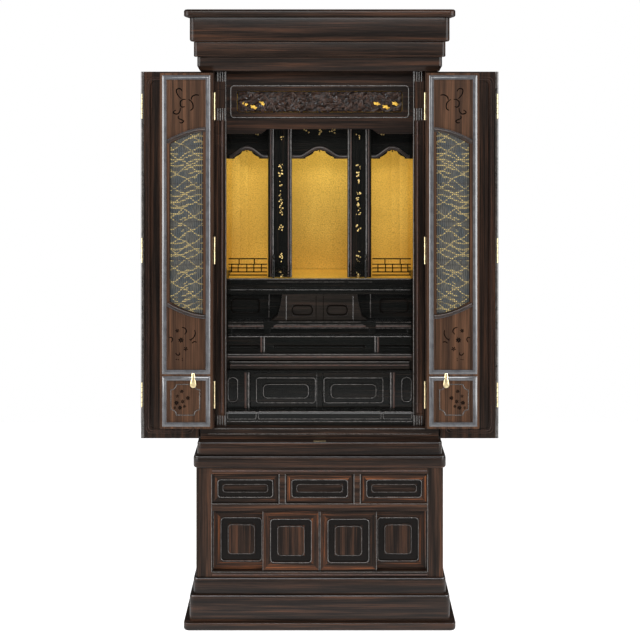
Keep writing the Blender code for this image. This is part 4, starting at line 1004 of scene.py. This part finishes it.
def barrel(x, y, z, radius=0.0027, length=0.0624):
    """Turned rod: a plain radius with narrow grooves between the knuckles, closed by small caps."""
    ends = np.linspace(z - length / 2, z + length / 2, KNUCKLES + 1)
    groove = np.repeat(ends[1:-1], 4) + np.tile([-0.0006, -0.0003, 0.0003, 0.0006], KNUCKLES - 1)
    heights = np.concatenate([[ends[0], ends[0]], groove, [ends[-1], ends[-1]]])
    radii = np.concatenate([[radius * 0.4, radius], np.tile([1.0, 0.72, 0.72, 1.0], KNUCKLES - 1) * radius,
                            [radius, radius * 0.4]])
    return lathe(radii, heights, x, y)


for side, hand in SIDES:
    names = [f"hinge_barrel_{hand}_{place}" for place in ("lower", "middle", "upper")]
    for name, z in zip(names, HINGE_HEIGHTS):
        low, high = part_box(name)
        middle = (low + high) / 2
        piece(name + "_turned", [barrel(middle.x, middle.y, z)], "cabinet", "brass", [name])
    low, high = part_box(f"outer_door_{hand}_hinged")
    fold = [barrel(side * 0.4064, low.y + 0.0009, z, 0.0024, 0.056) for z in HINGE_HEIGHTS]
    piece(f"fold_hinges_{hand}", fold, f"{hand}_outer_hinged", "brass")
print(2 * len(SIDES) * len(HINGE_HEIGHTS), "hinges")

# %% [markdown]
# The pulls are cast drops: a cushion over a pear-shaped outline, with a dark screw. The
# outer leaves are plain boards with two fine lines inlaid near their edges, on both
# faces, and a pale edge where they fold, a painted highlight.

# %% Drop pulls and outer leaves
FINE_LINES = ((0.0170, 0.0013), (0.0125, 0.0010))


def drop_outline(top_radius=0.0036, low_radius=0.0073, length=0.0360, steps=9):
    """A pear: a small round above, a large one below, joined by straight sides."""
    turn = np.linspace(0.0, math.pi, steps)
    head = np.column_stack([top_radius * np.cos(turn), length / 2 - top_radius + top_radius * np.sin(turn)])
    foot = np.column_stack([-low_radius * np.cos(turn), low_radius - length / 2 - low_radius * np.sin(turn)])
    return np.vstack([head, foot])


for side, hand in SIDES:
    low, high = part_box(f"outer_door_{hand}_hinged")
    edge = upright(side * 0.4054, (low.z + 0.0006, high.z - 0.0006), low.y, 0.0068, 0.0012)
    piece(f"outer_edge_{hand}", [edge], f"{hand}_outer_hinged", "rubbed_edge")
    low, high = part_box(f"door_pull_{hand}")
    middle = (low + high) / 2
    drop = stamp(dome(drop_outline(), 1.0, 4), [(middle.x, middle.z, 0, 1, 1, 0.0032)], high.y - 0.0002)
    piece(f"drop_pull_{hand}", drop, f"{hand}_inner_folded", "brass", [f"door_pull_{hand}"])
    screw = stamp(DOT, [(middle.x, high.z - 0.0050, 0, 0.0026, 0.0026, 0.0009)], high.y - 0.0030)
    piece(f"pull_screw_{hand}", screw, f"{hand}_inner_folded", "dark_line")
    for place in ("hinged", "folded"):
        low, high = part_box(f"outer_door_{hand}_{place}")
        rings = []
        for y, facing in ((low.y, -1), (high.y, 1)):
            for gap, width in FINE_LINES:
                path = rounded((low.x + gap, high.x - gap), (low.z + gap, high.z - gap), 0.0110)
                rings.append(bead(path, half_round(width, CUT_HEIGHT, 3), y, facing))
        piece(f"outer_lines_{hand}_{place}", rings, f"{hand}_outer_{place}", "red_edge")
print("pulls and outer leaves")

# %% [markdown]
# The transom is pierced with leaves and vines in front of gold paper. Its packed relief
# stays as the dark ground, and a few hundred small domed leaves on it, each turned its
# own way, catch the light one by one as cut wood does. Numbers drawn from a seeded
# generator place them, so every run gives the same carving.

# %% Transom carving
carving_low, carving_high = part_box("transom_carving")
CARVING_X = carving_high.x - 0.004
CARVING_Z = (carving_low.z + 0.0035, carving_high.z - 0.0035)
CARVING_Y = carving_low.y - 0.0002
LEAF_COUNT = 200
GLINT_COUNT = 36
seeded = np.random.default_rng(11)


def carved_leaves(count, x, z, length, lift):
    """Places of leaves strewn over a band, angles following a slow wave plus a free turn."""
    places_x = seeded.uniform(-x, x, count)
    places_z = seeded.uniform(z[0], z[1], count)
    angle = 1.4 * np.sin(places_x * 55.0) + seeded.uniform(-1.3, 1.3, count)
    size = seeded.uniform(length * 0.6, length * 1.25, count)
    return np.column_stack([places_x, places_z, angle, size * 0.42, size, size * lift])


leaves = stamp(SMALL_LEAF, carved_leaves(LEAF_COUNT, CARVING_X, CARVING_Z, 0.0170, 0.20), CARVING_Y)
piece("carved_leaves", leaves, "cabinet", "carved_wood")
# A few small pale leaves on top are painted glints: painted highlights on the carving.
glint_places = carved_leaves(GLINT_COUNT, CARVING_X * 0.93, CARVING_Z, 0.0056, 0.26)
glints = stamp(SMALL_LEAF, glint_places, CARVING_Y - 0.0020)
piece("carved_tips", glints, "cabinet", "bright_edge")
gold_gaps = [(side * (CARVING_X - 0.012 - 0.021 * i), CARVING_Z[0] + 0.0155 - 0.008 * (i % 2), 1.2,
              0.010, 0.019, 0.002) for side, _ in SIDES for i in range(3)]
piece("carving_gold", stamp(BLOSSOM, gold_gaps, CARVING_Y - 0.0008), "cabinet", "gold_paper")
frame_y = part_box("transom_frame")[0].y
# The outer rim is a pale bead: a painted highlight along the frame's edge.
rim = outline((-0.2057, 0.2057), (1.1532, 1.2265), 0.0080, frame_y, 0.0028, 0.0012)
piece("transom_rim", [rim], "cabinet", "rubbed_edge")
inner_rim = outline((-0.1925, 0.1925), (1.1640, 1.2150), 0.0060, frame_y + 0.0010, 0.0018, 0.0008)
piece("transom_inner_rim", [inner_rim], "cabinet", "red_edge")
print(LEAF_COUNT, "carved leaves")

# %% [markdown]
# Gold sprigs on black lacquer are drawn with a fine brush: small five-petalled blossoms,
# single petals and dots in a loose row. Each stroke here is one small low dome in gold.

# %% Gold sprigs on the columns
column_low, column_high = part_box("altar_column_left")
COLUMN_Y = column_low.y
COLUMN_MIDDLE = 0.0915
SPRIG_HEIGHTS = (0.7800, 0.8150, 0.8270, 0.8900, 0.9230, 0.9380, 0.9540, 0.9700,
                 0.9960, 1.0180, 1.0330, 1.1050)
SPRIG_HEIGHT = 0.0003


def sprig(x, z, spread, count):
    """Places of a cluster: marks strewn evenly over a tall oval."""
    angle = seeded.uniform(0, 2 * math.pi, count)
    reach = spread * np.sqrt(seeded.uniform(0, 1, count))
    size = seeded.uniform(0.0016, 0.0042, count)
    return np.column_stack([x + reach * np.cos(angle) * 0.7, z + reach * np.sin(angle), angle, size, size,
                            np.full(count, SPRIG_HEIGHT)])


for side, hand in SIDES:
    clusters = [sprig(side * COLUMN_MIDDLE, z, 0.0085, 5 if i % 3 else 9)
                for i, z in enumerate(SPRIG_HEIGHTS)]
    piece(f"column_sprigs_{hand}", stamp(BLOSSOM, np.vstack(clusters), COLUMN_Y), "cabinet", "gold_leaf")
    z = (column_low.z + 0.001, column_high.z - 0.001)
    # The pale beads down the column's edges are painted highlights.
    edges = [upright(side * x, z, COLUMN_Y, 0.0042, 0.0016) for x in (0.0686, 0.1109)]
    piece(f"column_beads_{hand}", edges, "cabinet", "rubbed_edge")
    edges = [upright(side * x, z, COLUMN_Y, 0.0030, 0.0006) for x in (0.0740, 0.1160)]
    piece(f"column_bands_{hand}", edges, "cabinet", "red_edge")
print(len(SPRIG_HEIGHTS), "sprigs a column")

# %% [markdown]
# The valance hangs across the niche in three low arches. One dark band follows its whole
# lower edge between two fine lines, with a short pin at each crown and gold sprigs
# above. The stage in front of the gold backdrop is covered with gold paper too.

# %% Valance and stage
valance_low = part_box("arch_valance")[0]
VALANCE_Y = valance_low.y
ARCH_PLANS = ((-0.1730, 0.0291), (0.0, 0.0334), (0.1730, 0.0291))
VALANCE_SPRIGS = ((0.0, 1.1150, 0.008, 9), (0.030, 1.1180, 0.010, 8), (-0.030, 1.1180, 0.010, 8),
                  (0.150, 1.1150, 0.009, 7), (-0.150, 1.1150, 0.009, 7), (0.185, 1.1190, 0.008, 6),
                  (-0.185, 1.1190, 0.008, 6))
sprigs = np.vstack([sprig(*plan) for plan in VALANCE_SPRIGS])
piece("valance_sprigs", stamp(DOT, sprigs, VALANCE_Y), "cabinet", "gold_leaf")


def arch_band(low, rise=0.0215, steps=150):
    """Band along the edge: z = low + rise * cos of the way out of each arch, to the power 1.4."""
    x = np.linspace(-0.2140, 0.2140, steps + 1)
    z = np.full(steps + 1, low + 0.0045)
    for middle, half in ARCH_PLANS:
        way = np.clip((x - middle) / (half * 1.35), -1.0, 1.0)
        z += rise * np.cos(way * math.pi / 2) ** 1.4
    return np.column_stack([x, z])


band = bead(arch_band(valance_low.z), half_round(0.0072, 0.0010), VALANCE_Y, ring=False)
piece("valance_band", [band], "cabinet", "arch_brown")
lines = [bead(arch_band(valance_low.z + lift), half_round(0.0010, 0.0012), VALANCE_Y, ring=False)
         for lift in (-0.0040, 0.0042)]
piece("valance_lines", lines, "cabinet", "arch_brown")
pin_z = (valance_low.z + 0.0160, valance_low.z + 0.0225)
pins = [upright(x, pin_z, VALANCE_Y, 0.0022, 0.0012) for x, _ in ARCH_PLANS]
piece("valance_pins", pins, "cabinet", "dark_line")
stage_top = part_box("altar_stage")[1].z
gilt = thin_plate((-0.215, 0.215), (-0.0975, 0.050), (stage_top, stage_top + 0.0003))
piece("stage_gold", [gilt], "cabinet", "gold_paper")
print(len(VALANCE_SPRIGS), "sprigs over the band, and the stage sheet")

# %% [markdown]
# Low railings of thin black bars close the stage at each side. Five level rails run from
# the pilaster to the column, short uprights tie them, and a wing curls back in front of
# each column. Each bar is a rounded profile along a straight or curved path.

# %% Railings
RAIL_NEAR = 0.1240
RAIL_FAR = 0.2150
RAIL_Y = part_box("altar_railing_right")[0].y + 0.0020
RAILS = ((0.8170, 0.0028), (0.8040, 0.0026), (0.7954, 0.0026), (0.7860, 0.0028), (0.7785, 0.0030))
UPRIGHTS = (((0.8040, 0.8170), 0.0013, (0.1540, 0.1900)),
            ((0.7860, 0.8040), 0.0013, (0.1375, 0.1554, 0.1719, 0.1924, 0.2078)),
            ((0.7740, 0.8060), 0.0011, (0.0760, 0.0860, 0.0960)))
WING_BARS = ((0.8010, 0.0300), (0.7925, 0.0360), (0.7845, 0.0400))
POST_X = 0.1085
POST_RADII = (0.0010, 0.0026, 0.0026, 0.0016, 0.0034, 0.0036, 0.0022, 0.0006)
POST_HEIGHTS = (0.7718, 0.7718, 0.8140, 0.8160, 0.8200, 0.8225, 0.8262, 0.8285)


def tube(path, radius, steps=6):
    """Round bar: point = path + radius * (normal * cos + across * sin), across the path and level."""
    path = np.asarray(path, dtype=float)
    way = np.gradient(path, axis=0)
    way /= np.linalg.norm(way, axis=1, keepdims=True)
    normal = np.cross(way, [0.0, 1.0, 0.0])
    steep = np.linalg.norm(normal, axis=1) < 0.2
    normal[steep] = [1.0, 0.0, 0.0]
    normal /= np.linalg.norm(normal, axis=1, keepdims=True)
    across = np.cross(way, normal)
    turn = np.linspace(0.0, 2 * math.pi, steps, endpoint=False)[None, :, None]
    offset = normal[:, None, :] * np.cos(turn) + across[:, None, :] * np.sin(turn)
    return sheet(path[:, None, :] + radius * offset, ring_columns=True, capped=True)


def bar(start, end, radius):
    return tube([start, [(a + b) / 2 for a, b in zip(start, end)], end], radius)


def railing(side):
    """Rails, uprights and post of one side. A wing bar is z = height + 6 mm * sin(5 * share)."""
    y = RAIL_Y
    shells = [bar((side * RAIL_NEAR, y, z), (side * RAIL_FAR, y, z), size / 2) for z, size in RAILS]
    for (foot, head), radius, places in UPRIGHTS:
        shells += [bar((side * x, y, foot), (side * x, y, head), radius) for x in places]
    sway = np.linspace(0.0, 1.0, 10)
    for z, reach in WING_BARS:
        path = [side * (0.1080 - reach * sway), np.full(10, y), z + 0.0060 * np.sin(sway * 5.0)]
        shells.append(tube(np.column_stack(path), 0.0013))
    shells.append(lathe(POST_RADII, POST_HEIGHTS, side * POST_X, y, 12))
    return shells


for side, hand in SIDES:
    piece(f"railing_{hand}", railing(side), "cabinet", "lacquer_level", [f"altar_railing_{hand}"])
print(len(RAILS), "rails a side")

# %% [markdown]
# Every board edge in the niche has a painted highlight: a line of paler lacquer. The lines
# are thin beads on the imported faces. Their places are measured on the photograph and turned into
# metres at each face's depth. The tray's own lines ride on the tray, which slides.

# %% Painted highlights on the edges in the niche
def front_of(name):
    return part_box(name)[0].y


def wide(half, z, y, width, height=0.0010):
    """A level bead across the middle."""
    return level((-half, half), z, y, width, height)


stage_y, dais_y, shelf_y = front_of("altar_stage"), front_of("altar_dais"), front_of("step_shelf")
tray_shelf_y, tray_y = front_of("tray_shelf"), front_of("serving_tray")
housing_y, sill_y = front_of("drawer_housing"), front_of("inner_sill")
NICHE_HALF = 0.2150
STAGE_PANEL_Y = -0.0710
STAGE_MOULDING_Y = -0.0940
STEP_Y = -0.1060
STEP_WINGS = (0.1320, NICHE_HALF)
STEP_RED_Z = 0.6598
STAGE_PANEL_Z = (0.6740, 0.7420)
DAIS_Z = (0.6720, 0.7300)
SHELF_POST_Z = (0.6005, 0.6370)
DRAWER_ROW_Z = (0.4770, 0.5600)
edge_lines = [wide(NICHE_HALF, 0.7702, stage_y, 0.0028), wide(0.1240, 0.7632, stage_y, 0.0016),
              wide(NICHE_HALF, 0.7437, STAGE_MOULDING_Y, 0.0022), wide(NICHE_HALF, 0.6375, shelf_y, 0.0026),
              wide(NICHE_HALF, 0.5982, tray_shelf_y, 0.0026), wide(0.2140, 0.4515, sill_y, 0.0020)]
red_lines = [wide(NICHE_HALF, 0.5925, tray_shelf_y, 0.0034, 0.0004),
             wide(0.1080, STEP_RED_Z, STEP_Y, 0.0034, 0.0006)]
for half, z in ((0.0962, 0.6700), (0.1046, 0.6634), (0.1145, 0.6562)):
    edge_lines.append(wide(half, z, STEP_Y, 0.0026, 0.0020))
    edge_lines += [level(span(side, *STEP_WINGS), z - 0.0006, STEP_Y, 0.0024, 0.0016) for side, _ in SIDES]
for side, _ in SIDES:
    edge_lines += [upright(side * 0.1207, STAGE_PANEL_Z, STAGE_PANEL_Y, 0.0030, 0.0012),
                   upright(side * 0.1306, SHELF_POST_Z, shelf_y, 0.0040, 0.0012),
                   upright(side * 0.1657, DRAWER_ROW_Z, housing_y, 0.0044, 0.0014),
                   upright(side * 0.0790, DAIS_Z, dais_y, 0.0026, 0.0012)]
    red_lines += [level(span(side, *STEP_WINGS), STEP_RED_Z, STEP_Y, 0.0034, 0.0006),
                  upright(side * 0.1725, DRAWER_ROW_Z, housing_y, 0.0044, 0.0005),
                  upright(side * 0.1370, SHELF_POST_Z, shelf_y, 0.0040, 0.0005)]
piece("niche_edges", edge_lines, "cabinet", "rubbed_edge")
piece("niche_red_lines", red_lines, "cabinet", "red_edge")
piece("tray_edge", [wide(0.2090, 0.5824, tray_y, 0.0022)], "serving_tray", "rubbed_edge")
piece("tray_red_line", [wide(0.2090, 0.5745, tray_y, 0.0026, 0.0004)], "serving_tray", "red_edge")
print(len(edge_lines), "edges in the niche")

# %% [markdown]
# The panels below the stage and the shelf are cut with dark outlines, and the inner sill
# has three long fields outlined by a pale line, a painted highlight. Each outline is one closed bead.

# %% Panel outlines in the niche
SHELF_SLOT_Z = (0.6108, 0.6164)
SLOT_CORNER = 0.0026
dark_rings = [outline((-0.1060, 0.1060), SHELF_SLOT_Z, SLOT_CORNER, shelf_y, 0.0016, 0.0004)]
fine_rings = [outline((-0.1416, 0.1416), (0.4574, 0.4746), 0.0030, sill_y, 0.0018, 0.0008)]
for side, _ in SIDES:
    dark_rings += [outline(span(side, 0.1433, 0.2096), (0.6853, 0.7184), 0.0100,
                           STAGE_PANEL_Y, 0.0022, 0.0004),
                   outline(span(side, 0.0167, 0.0653), (0.6851, 0.7068), 0.0107, dais_y, 0.0022, 0.0004),
                   outline(span(side, 0.1400, 0.2120), SHELF_SLOT_Z, SLOT_CORNER, shelf_y, 0.0016, 0.0004),
                   upright(side * 0.0085, DAIS_Z, dais_y, 0.0014, 0.0004)]
    fine_rings.append(outline(span(side, 0.1469, 0.2126), (0.4574, 0.4742), 0.0030, sill_y, 0.0018, 0.0008))
piece("niche_outlines", dark_rings, "cabinet", "dark_line")
piece("sill_outlines", fine_rings, "cabinet", "rubbed_edge")
print(len(dark_rings) + len(fine_rings), "outlines")

# %% [markdown]
# Each pilaster is turned into a slim column by three blocks of flutes, a painted highlight
# down its inner corner, a red streak on its face and a painted shadow in the gap beside the
# case. A flute is a short pale bead, a painted highlight, and four of them side by side read as fluting.

# %% Pilasters
FLUTES_X = (0.2190, 0.2245, 0.2300, 0.2355)
for side, hand in SIDES:
    low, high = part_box(f"pilaster_{hand}")
    blocks = ((high.z - 0.0235, high.z - 0.0010), (high.z - 0.1130, high.z - 0.0850),
              (low.z + 0.0010, low.z + 0.0235))
    flutes = [upright(side * x, z, low.y, 0.0034, 0.0014) for z in blocks for x in FLUTES_X]
    flutes.append(upright(side * 0.2168, (low.z, high.z), low.y, 0.0022, 0.0010))
    piece(f"flutes_{hand}", flutes, "cabinet", "rubbed_edge")
    # A dark bead in the gap beside the case is painted shadow.
    gap = [upright(side * 0.2422, (low.z + 0.001, high.z - 0.001), low.y + 0.0004, 0.0034, 0.0006)]
    piece(f"pilaster_gap_shadow_{hand}", gap, "cabinet", "dark_line")
    streak = [upright(side * 0.2260, (low.z + 0.030, high.z - 0.115), low.y, 0.0034, 0.0004)]
    piece(f"pilaster_streak_{hand}", streak, "cabinet", "red_edge")
print(len(FLUTES_X) * 3, "flutes a side")

# %% [markdown]
# The inner drawers have a framed front with a rounded slot, and the case beside them has
# two ovals. Those outlines and the floor edges are pale beads: painted highlights. The lines
# on a drawer ride on the drawer. The catch plate of the doors is a thin brass sheet let
# into the top of the sill.

# %% Inner drawers, floor edges and catch plate
DRAWER_RING_X = (0.0100, 0.1471)
DRAWER_SLOT_X = (0.0262, 0.1310)
for side, hand in SIDES:
    low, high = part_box(f"inner_drawer_{hand}")
    ring = outline(span(side, *DRAWER_RING_X), (low.z + 0.0120, high.z - 0.0120), 0.0060,
                   low.y, 0.0020, 0.0010)
    slot = outline(span(side, *DRAWER_SLOT_X), (low.z + 0.0225, high.z - 0.0275), 0.0100, low.y + 0.0018,
                   0.0016, 0.0008)
    piece(f"drawer_ring_{hand}", [ring], f"inner_drawer_{hand}", "rubbed_edge")
    piece(f"drawer_slot_{hand}", [slot], f"inner_drawer_{hand}", "rubbed_edge")
low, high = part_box("inner_drawer_left")
side_line = upright(-0.0060, (0.4800, high.z - 0.0010), low.y, 0.0032, 0.0012)
piece("drawer_side_line", [side_line], "inner_drawer_left", "rubbed_edge")
ovals = [outline(span(side, 0.1910, 0.2130), (0.4920, 0.5480), 0.0090, housing_y, 0.0018, 0.0007)
         for side, _ in SIDES]
piece("side_ovals", ovals, "cabinet", "rubbed_edge")
floor_y = front_of("cabinet_carcass")
floor_edges = [wide(0.2410, 0.4412, floor_y, 0.0024), wide(0.2560, 0.4292, floor_y, 0.0018)]
piece("floor_edges", floor_edges, "cabinet", "rubbed_edge")
sill_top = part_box("upper_sill")[1].z
plate = thin_plate((-0.0140, 0.0140), (-0.2120, -0.2030), (sill_top, sill_top + 0.0006))
piece("catch_plate", [plate], "cabinet", "brass")
print("drawers, floor edges and catch plate")

# %% [markdown]
# The fronts of the base are frames with a rounded inner edge, a sunk slot on each drawer
# and a raised panel on each sliding door. A fine pale bead, a painted highlight, runs along
# each of those edges.

# %% Base fronts
def front_ring(low, high, margin, corner, y, width=0.0020, height=0.0010):
    """An outline that keeps a margin from the edges of a front."""
    x, z = (low.x + margin, high.x - margin), (low.z + margin, high.z - margin)
    return outline(x, z, corner, y, width, height)


for name in nodes:
    if not name.startswith(("base_drawer_", "sliding_door_")):
        continue
    low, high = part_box(name)
    if name.startswith("base_drawer_"):
        parts = {"_ring": [front_ring(low, high, 0.0122, 0.0062, low.y)],
                 "_slot": [front_ring(low, high, 0.0232, 0.0068, low.y + 0.0018, 0.0016)]}
    else:
        parts = {"_ring": [front_ring(low, high, 0.0182, 0.0080, low.y)],
                 "_island": [front_ring(low, high, 0.0345, 0.0080, low.y, 0.0012, 0.0006)],
                 "_ends": [upright(x, (low.z + 0.001, high.z - 0.001), low.y, 0.0016, 0.0006)
                           for x in (low.x + 0.001, high.x - 0.001)]}
    for ending, shells in parts.items():
        piece(name + ending, shells, name, "rubbed_edge")
print("fronts of the base outlined")

# %% [markdown]
# The fixed frame round those fronts has the same pale lines, painted highlights, along its
# openings, and a red streak where its top and bottom rails are worn.

# %% Base frame
base_y = front_of("base_front_frame")
OPENING_HALF = 0.2440
DRAWERS_Z = (0.2795, 0.3462)
FRONTS_Z = (0.1245, 0.3462)
frame_edges = [upright(x, DRAWERS_Z, base_y, 0.0024, 0.0008)
               for half in (0.0922, 0.0778) for x in (-half, half)]
frame_edges += [upright(side * 0.2450, FRONTS_Z, base_y, 0.0018, 0.0006) for side, _ in SIDES]
frame_edges += [wide(OPENING_HALF, z, base_y, 0.0016, 0.0006) for z in (0.2785, 0.1238)]
piece("base_frame_edges", frame_edges, "cabinet", "rubbed_edge")
red_rails = [wide(OPENING_HALF, z, base_y, 0.0030, 0.0003) for z in (0.3530, 0.1175)]
piece("base_red_lines", red_rails, "cabinet", "red_edge")
print("base frame")
